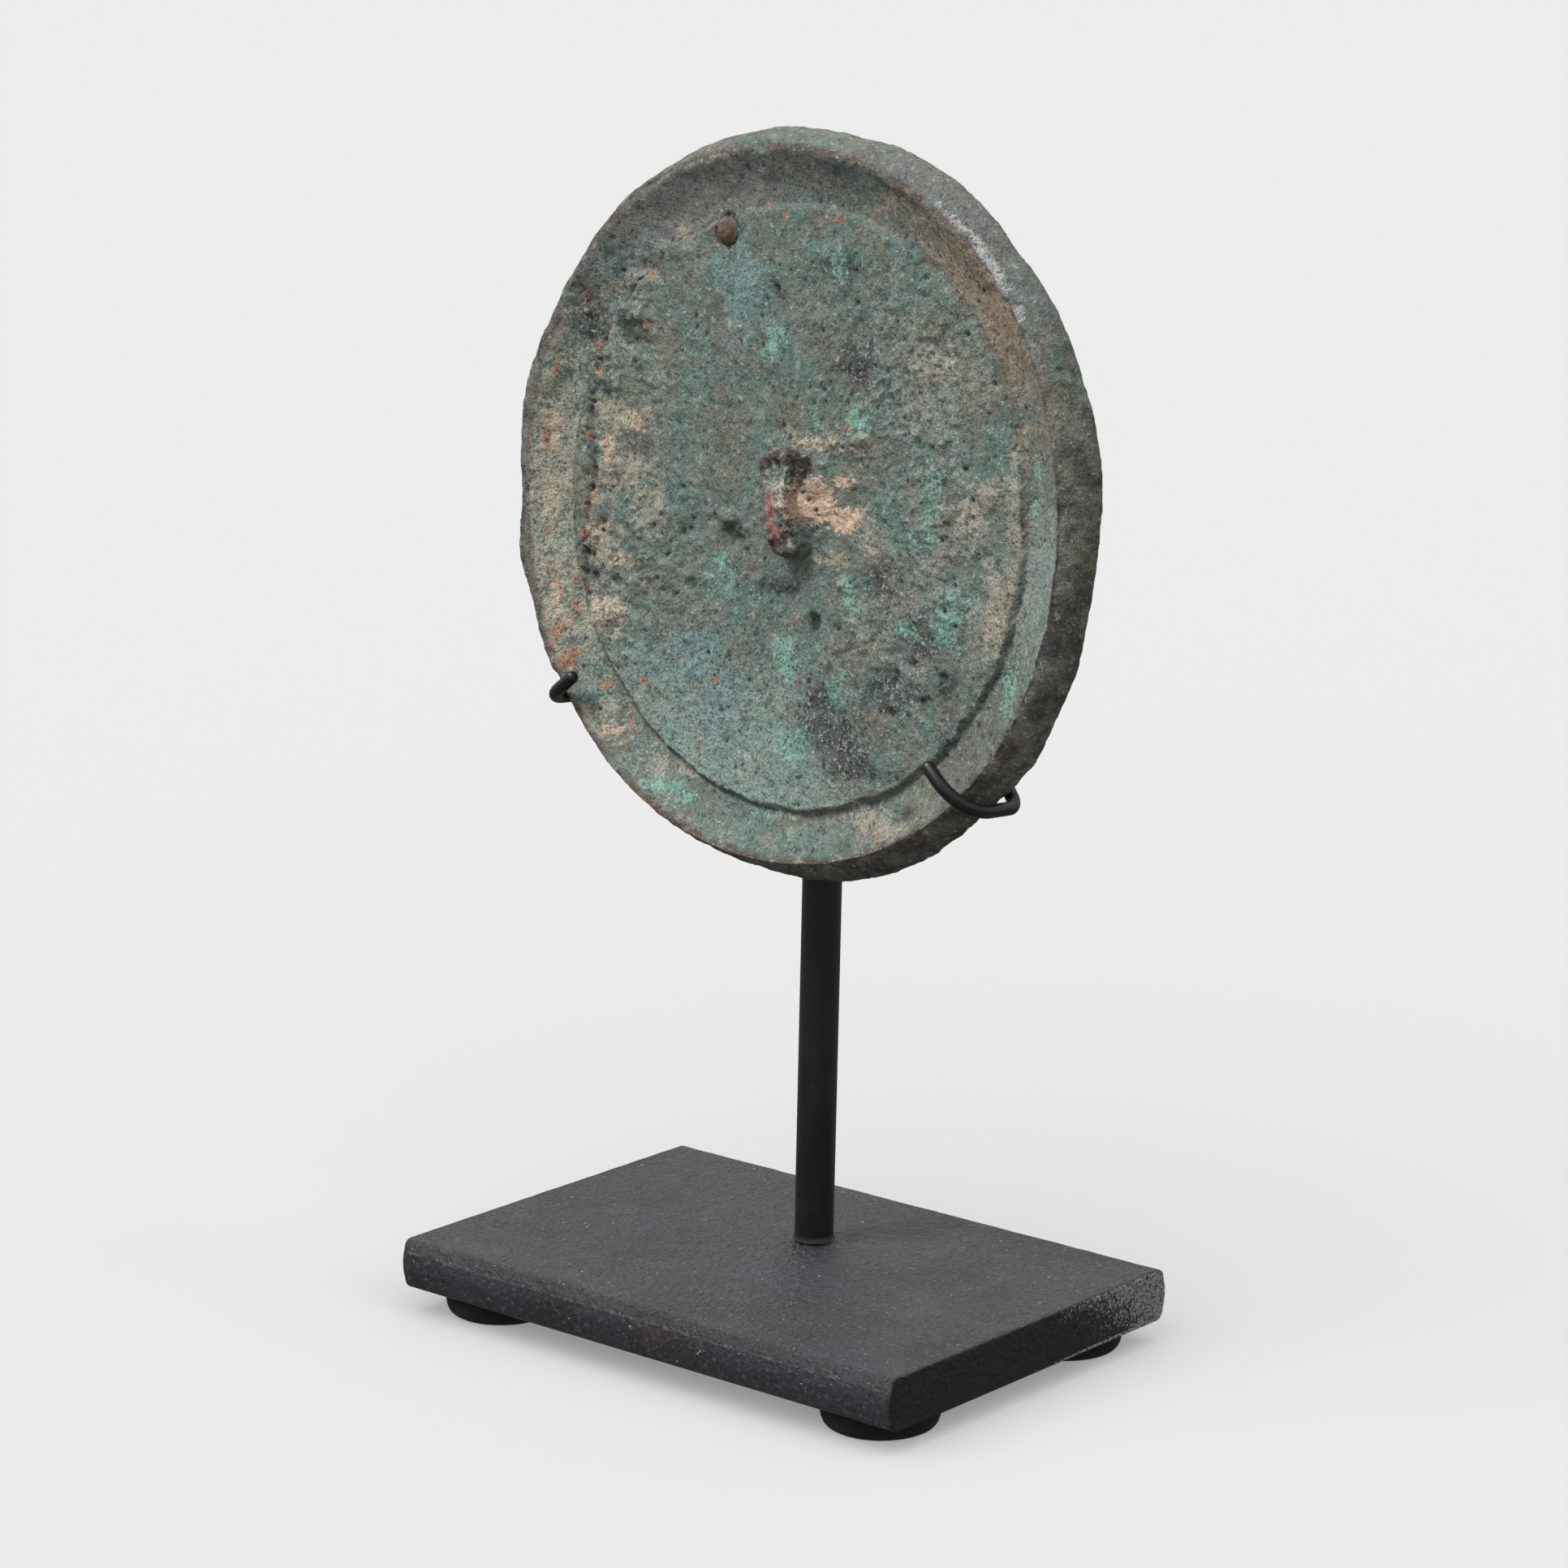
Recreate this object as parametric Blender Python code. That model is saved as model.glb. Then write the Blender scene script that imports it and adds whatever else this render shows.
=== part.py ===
"""Ancient cast bronze mirror on its black metal display stand.

The knobbed back of the mirror faces -Y, its polished face looks to +Y.
Z is up, metres throughout, and the floor under the feet is Z = 0.
"""

import math

import bmesh
import bpy
from mathutils import Matrix, Vector

# Clearance kept between pieces that touch, are glued or are brazed
FIT_GAP = 0.0003

# Base plate, a sawn length of hot rolled flat bar
PLATE_LENGTH = 0.0762
PLATE_WIDTH = 0.0522
PLATE_THICKNESS = 0.00635
PLATE_UPPER_ROUND = 0.0011
PLATE_LOWER_ROUND = 0.0013
PLATE_SIDE_BULGE = 0.00035
PLATE_CENTRE_X = -0.00015

# Four stick-on pads under the plate
FOOT_DIAMETER = 0.0140
FOOT_TAPER = 0.0017
FOOT_HEIGHT = 0.0027
FOOT_END_MARGIN = 0.00145
FOOT_SIDE_MARGIN = 0.0018

# Round post, welded behind the middle of the plate
POST_DIAMETER = 0.00476
POST_BEHIND_CENTRE = 0.00647
POST_BESIDE_CENTRE = -0.00026
POST_LEAN_SIDE = math.radians(0.86)
POST_LEAN_BACK = math.radians(0.59)
POST_ABOVE_MIRROR_CENTRE = 0.0140
WELD_SIZE = 0.0002

# Mirror, one casting
MIRROR_CENTRE_ABOVE_PLATE = 0.0906
MIRROR_BESIDE_PLATE_CENTRE = 0.00029
MIRROR_LEAN = math.radians(4.1)
MIRROR_TURN = math.radians(-1.84)
MIRROR_RADIUS = 0.04415
RIM_SLOPE_WIDTH = 0.0026
BAND_WIDTH = 0.00645
LIP_ABOVE_FIELD = 0.00225
LIP_WIDTH = 0.00045
FIELD_DROP = 0.00048
FIELD_HEIGHT = 0.0026
FIELD_STEP = 0.0008
FACE_BULGE = 0.0006
RIM_EDGE_ROUND = 0.0004

# Bridge-shaped knob in the middle of the field, its hole packed with earth
KNOB_LENGTH = 0.0124
KNOB_WAIST = 0.0037
KNOB_END_WIDTH = 0.0062
KNOB_HEIGHT = 0.0034
KNOB_FALL = 0.0007
KNOB_OFFSET = (0.0008, 0.0003)
KNOB_FLANK = 0.0009
KNOB_TURN = math.radians(8.0)
EARTH_REACH = 0.0092
EARTH_HALF_HEIGHT = 0.0032
EARTH_HEIGHT = 0.0025

# Hooks of round rod
WIRE_DIAMETER = 0.0016
HOOK_TAIL_BEND = 0.0030
HOOK_TAIL_BELOW_TIP = 0.0020
RIGHT_HOOK_ANGLE = math.radians(-42.5)
RIGHT_HOOK_FINGER = 0.0069
RIGHT_HOOK_ABOVE_LIP = 0.0027
RIGHT_HOOK_BEHIND_FACE = 0.0001
RIGHT_HOOK_BENDS = (0.0050, 0.0015, HOOK_TAIL_BEND)
LEFT_HOOK_ANGLE = math.radians(218.3)
LEFT_HOOK_FINGER = 0.0049
LEFT_HOOK_ABOVE_LIP = 0.0001
LEFT_HOOK_BEHIND_FACE = 0.0009
LEFT_HOOK_BENDS = (0.0024, 0.0026, HOOK_TAIL_BEND)

# Worn spots of the rim: middle angle and half width in degrees, change in metres
RIM_WEAR = (
    (14, 13, 0.00075), (34, 9, 0.00035), (83, 8, -0.0006), (100, 12, -0.00035),
    (217.5, 6, -0.0013), (228, 9, -0.0009), (250, 13, -0.0009), (266, 9, -0.0005),
    (297, 12, 0.0003), (327, 7, 0.0007), (341, 5, 0.00035),
)
LIP_WEAR = (
    (130, 14, 0.00045), (168, 14, 0.0015), (194, 6, 0.0014), (209, 8, 0.00055), (217.5, 3, -0.0004),
)
LIP_THREE_LOBES = 0.00018
LIP_FOUR_LOBES = -0.00025

# Facets
RIM_SEGMENTS = 96
CORE_SEGMENTS = 48
CORE_RINGS = 6
INNER_RINGS = 20
INNER_RADIUS = 0.0120
PLATE_CORNER_STEPS = 4
PLATE_SIDE_STEPS = 4
POST_SEGMENTS = 24
FOOT_SEGMENTS = 28
WIRE_SEGMENTS = 10
BEND_STEP = math.radians(15)
SMOOTH_ANGLE = math.radians(40)

# Sizes and heights that follow from the ones above
LIP_RADIUS = MIRROR_RADIUS - RIM_SLOPE_WIDTH
FIELD_RADIUS = LIP_RADIUS - BAND_WIDTH
LIP_HEIGHT = FIELD_HEIGHT + LIP_ABOVE_FIELD
PLATE_BOTTOM = FOOT_HEIGHT + FIT_GAP
PLATE_TOP = PLATE_BOTTOM + PLATE_THICKNESS
MIRROR_CENTRE_Z = PLATE_TOP + MIRROR_CENTRE_ABOVE_PLATE


def clear_scene():
    for old in list(bpy.data.objects):
        bpy.data.objects.remove(old, do_unlink=True)


def principled(name, colour, roughness, metallic):
    material = bpy.data.materials.new(name)
    material.use_nodes = True
    shader = material.node_tree.nodes["Principled BSDF"]
    shader.inputs["Base Color"].default_value = (*colour, 1.0)
    shader.inputs["Roughness"].default_value = roughness
    shader.inputs["Metallic"].default_value = metallic
    return material


def add_object(name, bm, material, matrix=None):
    bmesh.ops.recalc_face_normals(bm, faces=bm.faces)
    mesh = bpy.data.meshes.new(name)
    bm.to_mesh(mesh)
    bm.free()
    mesh.shade_smooth()
    mesh.set_sharp_from_angle(angle=SMOOTH_ANGLE)
    mesh.materials.append(material)
    piece = bpy.data.objects.new(name, mesh)
    bpy.context.scene.collection.objects.link(piece)
    if matrix is not None:
        piece.matrix_world = matrix
    return piece


def ring(bm, points):
    return [bm.verts.new(point) for point in points]


def bridge(bm, lower, upper):
    """Joins two closed rings; the upper one has as many points or half as many."""
    count = len(lower)
    if len(upper) == count:
        for i in range(count):
            j = (i + 1) % count
            bm.faces.new((lower[i], lower[j], upper[j], upper[i]))
        return
    half = len(upper)
    for i in range(half):
        j = (i + 1) % half
        first, middle, last = lower[2 * i], lower[2 * i + 1], lower[(2 * i + 2) % count]
        bm.faces.new((first, middle, upper[i]))
        bm.faces.new((middle, upper[j], upper[i]))
        bm.faces.new((middle, last, upper[j]))


def close_with_point(bm, rim, point):
    tip = bm.verts.new(point)
    for i, vertex in enumerate(rim):
        bm.faces.new((vertex, rim[(i + 1) % len(rim)], tip))


def turned(bm, profile, segments):
    """A solid of revolution about Z from a profile of (radius, height)."""
    rings = []
    for radius, height in profile:
        turn = [2 * math.pi * i / segments for i in range(segments)]
        rings.append(ring(bm, [(radius * math.cos(a), radius * math.sin(a), height) for a in turn]))
    for lower, upper in zip(rings, rings[1:]):
        bridge(bm, lower, upper)
    bm.faces.new(rings[0])
    bm.faces.new(rings[-1])


def bump(distance, half_width):
    """1 in the middle and fading to nothing past the half width."""
    return math.exp(-((distance / half_width) ** 2))


def smooth_step(low, high, value):
    t = min(max((value - low) / (high - low), 0.0), 1.0)
    return t * t * (3.0 - 2.0 * t)


def turn_between(angle, degrees):
    """Shortest turn in degrees from an angle in radians to one in degrees."""
    return (math.degrees(angle) - degrees + 180.0) % 360.0 - 180.0


def wear(angle, spots):
    return sum(amount * bump(turn_between(angle, middle), half) for middle, half, amount in spots)


def rim_radius(angle):
    """Outer radius of the mirror, worn a little out of round."""
    return MIRROR_RADIUS + wear(angle, RIM_WEAR)


def lip_radius(angle):
    lobes = LIP_THREE_LOBES * math.cos(3 * angle) + LIP_FOUR_LOBES * math.cos(4 * angle)
    return LIP_RADIUS + lobes


def lip_width(angle):
    return LIP_WIDTH + wear(angle, LIP_WEAR)


def knob_height(x, z):
    """Height of the bridge knob above the field: a waisted block with steep flanks."""
    dx, dz = x - KNOB_OFFSET[0], z - KNOB_OFFSET[1]
    along = dz * math.cos(KNOB_TURN) - dx * math.sin(KNOB_TURN)
    across = dx * math.cos(KNOB_TURN) + dz * math.sin(KNOB_TURN)
    share = min(abs(along) / (KNOB_LENGTH / 2), 1.0)
    half_width = (KNOB_WAIST + (KNOB_END_WIDTH - KNOB_WAIST) * share ** 2) / 2
    corner = half_width * math.sqrt(max(1.0 - share ** 6, 0.0))
    side = smooth_step(-KNOB_FLANK / 2, KNOB_FLANK / 2, corner - abs(across))
    end = smooth_step(-KNOB_FLANK / 2, KNOB_FLANK / 2, KNOB_LENGTH / 2 - abs(along))
    arch = KNOB_HEIGHT * (1.0 - 0.18 * share ** 2)
    lower_end = KNOB_FALL * max(-along / (KNOB_LENGTH / 2), 0.0)
    return (arch - lower_end) * side * end


def earth_height(x, z):
    """Earth that fills the knob's hole and spills out beside it."""
    dx, dz = x - KNOB_OFFSET[0], z - KNOB_OFFSET[1]
    along = dx / EARTH_REACH
    if along < 0.0 or along > 1.0:
        return 0.0
    rise = (1.0 - along) ** 1.3
    return EARTH_HEIGHT * rise * bump(dz, EARTH_HALF_HEIGHT)


def front_height(radius, angle):
    """Height of the knobbed side over the plane of the rim's widest line."""
    x, z = radius * math.cos(angle), radius * math.sin(angle)
    from_field = math.hypot(x, z + FIELD_DROP)
    half_step = FIELD_STEP / 2
    floor = FIELD_HEIGHT - FIELD_STEP
    on_field = 1.0 - smooth_step(-half_step, half_step, from_field - FIELD_RADIUS)
    lip = lip_radius(angle)
    into_band = max(from_field - FIELD_RADIUS, 0.0) / max(lip - FIELD_RADIUS, FIT_GAP)
    band = floor + (LIP_HEIGHT - floor) * min(into_band, 1.0) ** 1.7
    raised = max(knob_height(x, z), earth_height(x, z))
    return band + FIELD_STEP * on_field + raised


def back_height(radius):
    return -FACE_BULGE * (1.0 - min(radius / MIRROR_RADIUS, 1.0) ** 2)


def wall_profile(angle):
    """The rim outside the lip's crest, from the crest to the polished face."""
    outer = rim_radius(angle)
    crest = lip_radius(angle)
    blunt = min(crest + lip_width(angle), outer - RIM_EDGE_ROUND)
    run = outer - blunt
    return (
        (blunt, LIP_HEIGHT * 0.96),
        (blunt + run * 0.45, LIP_HEIGHT * 0.76),
        (blunt + run * 0.75, LIP_HEIGHT * 0.52),
        (blunt + run * 0.93, LIP_HEIGHT * 0.29),
        (outer, LIP_HEIGHT * 0.12),
        (outer - RIM_EDGE_ROUND, 0.0),
    )


def mirror_ring(bm, segments, place):
    """One ring; place gives (radius, height) at an angle."""
    points = []
    for i in range(segments):
        angle = 2 * math.pi * i / segments
        radius, height = place(angle)
        points.append((radius * math.cos(angle), -height, radius * math.sin(angle)))
    return ring(bm, points)


def mirror_front_radii():
    """Shares of the way from the inner field to the lip's crest, closer at the step."""
    step_low = FIELD_RADIUS - FIELD_STEP / 2
    step_high = FIELD_RADIUS + FIELD_STEP / 2
    field = [INNER_RADIUS + (step_low - INNER_RADIUS) * k / 6 for k in range(1, 7)]
    band = [step_high + (LIP_RADIUS - step_high) * share for share in (0.0, 0.25, 0.5, 0.75, 0.92)]
    return field + [FIELD_RADIUS] + band


def make_mirror(material):
    bm = bmesh.new()
    rings = []
    for k in range(1, INNER_RINGS + 1):
        radius = INNER_RADIUS * k / INNER_RINGS
        count = RIM_SEGMENTS if k > CORE_RINGS else CORE_SEGMENTS
        rings.append(mirror_ring(bm, count, lambda a, r=radius: (r, front_height(r, a))))
    for radius in mirror_front_radii():
        def on_front(a, r=radius):
            beyond_field = max(r - FIELD_RADIUS, 0.0) / (LIP_RADIUS - FIELD_RADIUS)
            worn = r + (lip_radius(a) - LIP_RADIUS) * beyond_field
            return worn, front_height(worn, a)
        rings.append(mirror_ring(bm, RIM_SEGMENTS, on_front))
    rings.append(mirror_ring(bm, RIM_SEGMENTS, lambda a: (lip_radius(a), LIP_HEIGHT)))
    for k in range(len(wall_profile(0.0))):
        rings.append(mirror_ring(bm, RIM_SEGMENTS, lambda a, n=k: wall_profile(a)[n]))
    for share in (0.9, 0.7, 0.5, 0.25):
        radius = MIRROR_RADIUS * share
        count = RIM_SEGMENTS if share > 0.5 else CORE_SEGMENTS
        rings.append(mirror_ring(bm, count, lambda a, r=radius: (r, back_height(r))))
    for lower, upper in zip(rings, rings[1:]):
        if len(upper) > len(lower):
            bridge(bm, upper, lower)
        else:
            bridge(bm, lower, upper)
    close_with_point(bm, rings[0], (0.0, -front_height(0.0, 0.0), 0.0))
    close_with_point(bm, rings[-1], (0.0, -back_height(0.0), 0.0))
    bmesh.ops.triangulate(bm, faces=bm.faces)
    return add_object("mirror", bm, material, mirror_matrix())


def post_axis(height):
    """Middle of the post at a height above the floor."""
    rise = height - PLATE_TOP
    return Vector((
        PLATE_CENTRE_X + POST_BESIDE_CENTRE + rise * math.tan(POST_LEAN_SIDE),
        POST_BEHIND_CENTRE + rise * math.tan(POST_LEAN_BACK),
        height,
    ))


def mirror_matrix():
    """Stands the mirror so that its polished face leans on the post's round tip."""
    turn = Matrix.Rotation(MIRROR_TURN, 4, "Z") @ Matrix.Rotation(-MIRROR_LEAN, 4, "X")
    backward = turn.to_3x3() @ Vector((0.0, 1.0, 0.0))
    tip = post_axis(MIRROR_CENTRE_Z + POST_ABOVE_MIRROR_CENTRE)
    reach = POST_DIAMETER / 2 + FIT_GAP - back_height(POST_ABOVE_MIRROR_CENTRE)
    centre_x = PLATE_CENTRE_X + MIRROR_BESIDE_PLATE_CENTRE
    beside = (tip.x - centre_x) * backward.x
    above = (tip.z - MIRROR_CENTRE_Z) * backward.z
    centre_y = tip.y - (reach - beside - above) / backward.y
    return Matrix.Translation((centre_x, centre_y, MIRROR_CENTRE_Z)) @ turn


def on_mirror(radius, angle, height):
    """World place of a point given on the mirror."""
    local = Vector((radius * math.cos(angle), -height, radius * math.sin(angle)))
    return mirror_matrix() @ local


def plate_corner(radius, inner, half_height):
    """Quarter round from the flat face out to the side, as (y, z) points."""
    points = []
    for k in range(PLATE_CORNER_STEPS + 1):
        a = math.radians(90) * (1 - k / PLATE_CORNER_STEPS)
        points.append((inner - radius + radius * math.cos(a), half_height - radius + radius * math.sin(a)))
    return points


def make_plate(material):
    """Flat bar with rolled edges: two round corners and a side that bulges a little."""
    bm = bmesh.new()
    half = PLATE_WIDTH / 2
    half_height = PLATE_THICKNESS / 2
    inner = half - PLATE_SIDE_BULGE
    upper = plate_corner(PLATE_UPPER_ROUND, inner, half_height)
    lower = [(y, -z) for y, z in reversed(plate_corner(PLATE_LOWER_ROUND, inner, half_height))]
    top, drop = upper[-1][1], upper[-1][1] - lower[0][1]
    side = []
    for k in range(1, PLATE_SIDE_STEPS):
        share = k / PLATE_SIDE_STEPS
        side.append((half - PLATE_SIDE_BULGE * (2 * share - 1) ** 2, top - drop * share))
    right = upper + side + lower
    outline = right + [(-y, z) for y, z in reversed(right)]
    ends = []
    for x in (-PLATE_LENGTH / 2, PLATE_LENGTH / 2):
        ends.append(ring(bm, [(x, y, z) for y, z in outline]))
        bm.faces.new(ends[-1])
    bridge(bm, ends[0], ends[1])
    place = Matrix.Translation((PLATE_CENTRE_X, 0.0, PLATE_BOTTOM + half_height))
    return add_object("base_plate", bm, material, place)


def make_feet(material):
    outer = FOOT_DIAMETER / 2
    from_end = outer + FOOT_END_MARGIN
    from_side = outer + FOOT_SIDE_MARGIN
    profile = (
        (outer - FOOT_TAPER, 0.0),
        (outer - FOOT_TAPER * 0.48, FOOT_HEIGHT * 0.06),
        (outer - FOOT_TAPER * 0.22, FOOT_HEIGHT * 0.22),
        (outer - FOOT_TAPER * 0.03, FOOT_HEIGHT * 0.65),
        (outer, FOOT_HEIGHT),
    )
    for depth_name, depth_sign in (("front", -1), ("back", 1)):
        for side_name, side_sign in (("left", -1), ("right", 1)):
            bm = bmesh.new()
            turned(bm, profile, FOOT_SEGMENTS)
            place = Matrix.Translation((
                PLATE_CENTRE_X + side_sign * (PLATE_LENGTH / 2 - from_end),
                depth_sign * (PLATE_WIDTH / 2 - from_side),
                0.0,
            ))
            add_object(f"foot_{depth_name}_{side_name}", bm, material, place)


def make_post(material):
    """Round rod with a thin fillet of weld at its foot and a dressed, round tip."""
    bm = bmesh.new()
    radius = POST_DIAMETER / 2
    foot = PLATE_TOP + FIT_GAP
    tip = MIRROR_CENTRE_Z + POST_ABOVE_MIRROR_CENTRE
    levels = [(foot, radius + WELD_SIZE), (foot + WELD_SIZE * 0.4, radius + WELD_SIZE * 0.45)]
    levels += [(foot + WELD_SIZE * 1.2, radius), (tip, radius)]
    for k in range(1, 5):
        a = math.radians(20 * k)
        levels.append((tip + radius * math.sin(a), radius * math.cos(a)))
    rings = []
    for height, size in levels:
        middle = post_axis(height)
        turn = [2 * math.pi * i / POST_SEGMENTS for i in range(POST_SEGMENTS)]
        circle = [middle + Vector((size * math.cos(a), size * math.sin(a), 0.0)) for a in turn]
        rings.append(ring(bm, circle))
    for lower, upper in zip(rings, rings[1:]):
        bridge(bm, lower, upper)
    bm.faces.new(rings[0])
    close_with_point(bm, rings[-1], post_axis(tip + radius))
    return add_object("post", bm, material)


def bent_rod(corners, bends):
    """Points along a rod bent at its inner corners, each with its own bend radius."""
    points = [corners[0]]
    for before, corner, after, radius in zip(corners, corners[1:], corners[2:], bends):
        come, go = (before - corner).normalized(), (after - corner).normalized()
        half_angle = come.angle(go) / 2
        start = corner + come * (radius / math.tan(half_angle))
        centre = corner + (come + go).normalized() * (radius / math.sin(half_angle))
        swing = math.pi - 2 * half_angle
        steps = max(int(swing / BEND_STEP), 2)
        axis = (start - centre).cross(corner - centre).normalized()
        for k in range(steps + 1):
            turned_by = Matrix.Rotation(swing * k / steps, 3, axis)
            points.append(centre + turned_by @ (start - centre))
    points.append(corners[-1])
    return points


def sweep(bm, points, radius, segments):
    """Round rod along points, its frame carried along without twist, ends domed."""
    tangents = []
    for i, point in enumerate(points):
        ahead = points[min(i + 1, len(points) - 1)] - points[max(i - 1, 0)]
        tangents.append(ahead.normalized())
    side = tangents[0].orthogonal().normalized()
    stations = []
    for i, point in enumerate(points):
        if i:
            side = (tangents[i - 1].rotation_difference(tangents[i]) @ side).normalized()
        stations.append((point, tangents[i], side, radius))
    first, last = stations[0], stations[-1]
    dome = [(first[0] - first[1] * radius * 0.7, first[1], first[2], radius * 0.62)]
    dome_end = [(last[0] + last[1] * radius * 0.7, last[1], last[2], radius * 0.62)]
    rings = []
    for middle, along, across, size in dome + stations + dome_end:
        up = along.cross(across)
        turn = [2 * math.pi * i / segments for i in range(segments)]
        rings.append(ring(bm, [middle + (across * math.cos(a) + up * math.sin(a)) * size for a in turn]))
    for lower, upper in zip(rings, rings[1:]):
        bridge(bm, lower, upper)
    close_with_point(bm, rings[0], first[0] - first[1] * radius)
    close_with_point(bm, rings[-1], last[0] + last[1] * radius)


def hook_corners(angle, finger, above_lip, behind_face, side_sign):
    """Corners of a hook: finger tip, front bend, back bend, and tail on the post's side."""
    half_wire = WIRE_DIAMETER / 2
    nearby = [rim_radius(angle + math.radians(k)) for k in (-1, 0, 1)]
    outside = max(nearby) + FIT_GAP + half_wire
    in_front = LIP_HEIGHT + above_lip + FIT_GAP + half_wire
    behind = -(behind_face + FIT_GAP + half_wire)
    tail_low = MIRROR_CENTRE_Z + HOOK_TAIL_BEND
    tail_top = MIRROR_CENTRE_Z + POST_ABOVE_MIRROR_CENTRE - HOOK_TAIL_BELOW_TIP
    beside_post = Vector((side_sign * (POST_DIAMETER / 2 + FIT_GAP + half_wire), 0.0, 0.0))
    return [
        on_mirror(outside - finger, angle, in_front),
        on_mirror(outside, angle, in_front),
        on_mirror(outside, angle, behind),
        post_axis(tail_low) + beside_post,
        post_axis(tail_top) + beside_post,
    ]


def make_hook(name, corners, bends, material):
    bm = bmesh.new()
    points = bent_rod(corners, bends)
    sweep(bm, points, WIRE_DIAMETER / 2, WIRE_SEGMENTS)
    return add_object(name, bm, material)


def main():
    clear_scene()
    bronze = principled("bronze", (0.115, 0.155, 0.130), 0.82, 0.0)
    plate_paint = principled("plate_paint", (0.060, 0.058, 0.060), 0.62, 0.0)
    rod_paint = principled("rod_paint", (0.012, 0.012, 0.014), 0.55, 0.0)
    rubber = principled("foot_rubber", (0.010, 0.009, 0.008), 0.85, 0.0)
    make_mirror(bronze)
    make_plate(plate_paint)
    make_feet(rubber)
    make_post(rod_paint)
    right = hook_corners(
        RIGHT_HOOK_ANGLE, RIGHT_HOOK_FINGER, RIGHT_HOOK_ABOVE_LIP, RIGHT_HOOK_BEHIND_FACE, 1
    )
    make_hook("right_hook", right, RIGHT_HOOK_BENDS, rod_paint)
    left = hook_corners(
        LEFT_HOOK_ANGLE, LEFT_HOOK_FINGER, LEFT_HOOK_ABOVE_LIP, LEFT_HOOK_BEHIND_FACE, -1
    )
    make_hook("left_hook", left, LEFT_HOOK_BENDS, rod_paint)


main()
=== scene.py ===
# %% [markdown]
# # An ancient bronze mirror on its stand
# A round mirror, cast in bronze in antiquity, shows its knobbed back. Its raised rim, stepped field
# and bridge-shaped knob are grown over with green, blue and sandy corrosion. A mount maker has hung
# it on two bent rods, brazed to a black post on a sawn steel plate. This lesson builds those looks
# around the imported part, one material at a time.
#
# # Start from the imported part
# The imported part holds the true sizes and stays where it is. Every piece made below stands for
# one of its nodes, so the size of the whole is noted before anything is added.

import math

import bpy
import numpy as np
from mathutils import Matrix, Vector


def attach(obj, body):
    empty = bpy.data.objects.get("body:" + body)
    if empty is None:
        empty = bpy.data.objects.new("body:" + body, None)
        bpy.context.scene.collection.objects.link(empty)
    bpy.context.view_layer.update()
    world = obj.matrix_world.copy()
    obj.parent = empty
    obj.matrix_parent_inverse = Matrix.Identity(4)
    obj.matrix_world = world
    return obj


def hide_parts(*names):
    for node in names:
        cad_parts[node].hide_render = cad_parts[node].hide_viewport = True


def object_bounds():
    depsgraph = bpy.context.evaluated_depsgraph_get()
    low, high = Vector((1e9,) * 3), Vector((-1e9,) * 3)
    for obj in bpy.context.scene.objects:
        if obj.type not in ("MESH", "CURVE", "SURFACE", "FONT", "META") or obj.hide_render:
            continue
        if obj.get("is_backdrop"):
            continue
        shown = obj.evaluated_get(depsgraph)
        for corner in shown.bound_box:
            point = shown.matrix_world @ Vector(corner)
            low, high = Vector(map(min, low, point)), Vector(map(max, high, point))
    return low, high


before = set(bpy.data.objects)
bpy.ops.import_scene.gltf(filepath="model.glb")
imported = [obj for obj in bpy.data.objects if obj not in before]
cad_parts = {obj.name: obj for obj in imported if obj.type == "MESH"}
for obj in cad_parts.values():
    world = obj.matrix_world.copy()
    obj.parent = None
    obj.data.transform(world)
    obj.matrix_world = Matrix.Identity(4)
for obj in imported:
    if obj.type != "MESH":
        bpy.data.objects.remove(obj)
part_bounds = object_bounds()
MM = 0.001
print("pieces in the part:", sorted(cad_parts))

# %% [markdown]
# # Put the camera where the photo was taken
# A camera can be placed by eye, but a fitted one lets every edge be compared with the photo. The
# plate is a straight block of bar, so once a size is taken for it, its edges in the photo give the
# direction, the distance and the length of the lens. The camera has a long lens. It stands about
# forty degrees to the right of the mirror's front and looks down a little.

# %% Camera
VIEW_AZIMUTH = math.radians(40.330)
VIEW_ELEVATION = math.radians(12.767)
VIEW_ROLL = math.radians(0.176)
VIEW_DISTANCE = 0.54474
VIEW_LENS = 106.2
VIEW_SENSOR = 36.0
AIM = Vector((-0.967, 1.295, 66.814)) * MM

backward = Vector((
    math.sin(VIEW_AZIMUTH) * math.cos(VIEW_ELEVATION),
    -math.cos(VIEW_AZIMUTH) * math.cos(VIEW_ELEVATION),
    math.sin(VIEW_ELEVATION),
))
level_right = (-backward).cross(Vector((0, 0, 1))).normalized()
level_up = level_right.cross(-backward)
right = level_right * math.cos(VIEW_ROLL) + level_up * math.sin(VIEW_ROLL)
up = level_up * math.cos(VIEW_ROLL) - level_right * math.sin(VIEW_ROLL)
lens = bpy.data.cameras.new("photo_camera")
lens.lens = VIEW_LENS
lens.sensor_width = VIEW_SENSOR
lens.clip_start = 0.02
lens.clip_end = 60.0
camera = bpy.data.objects.new("photo_camera", lens)
camera.matrix_world = (
    Matrix.Translation(AIM + backward * VIEW_DISTANCE)
    @ Matrix((right, up, backward)).transposed().to_4x4()
)
bpy.context.scene.collection.objects.link(camera)
bpy.context.scene.camera = camera
print("camera at", [round(v, 4) for v in camera.location])

# %% [markdown]
# # A pale studio
# The photo has an even pale ground with only a soft shadow close under the plate. One lamp for all
# would either darken the ground or wash out the bronze, so the room is split in two. The object
# gets a pale sky that dims towards the floor, and one large lamp from above, in front and to the
# left. The floor gets its own very wide lamp, which the object only shades close to the plate.
# Nothing here belongs to the object.

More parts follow.
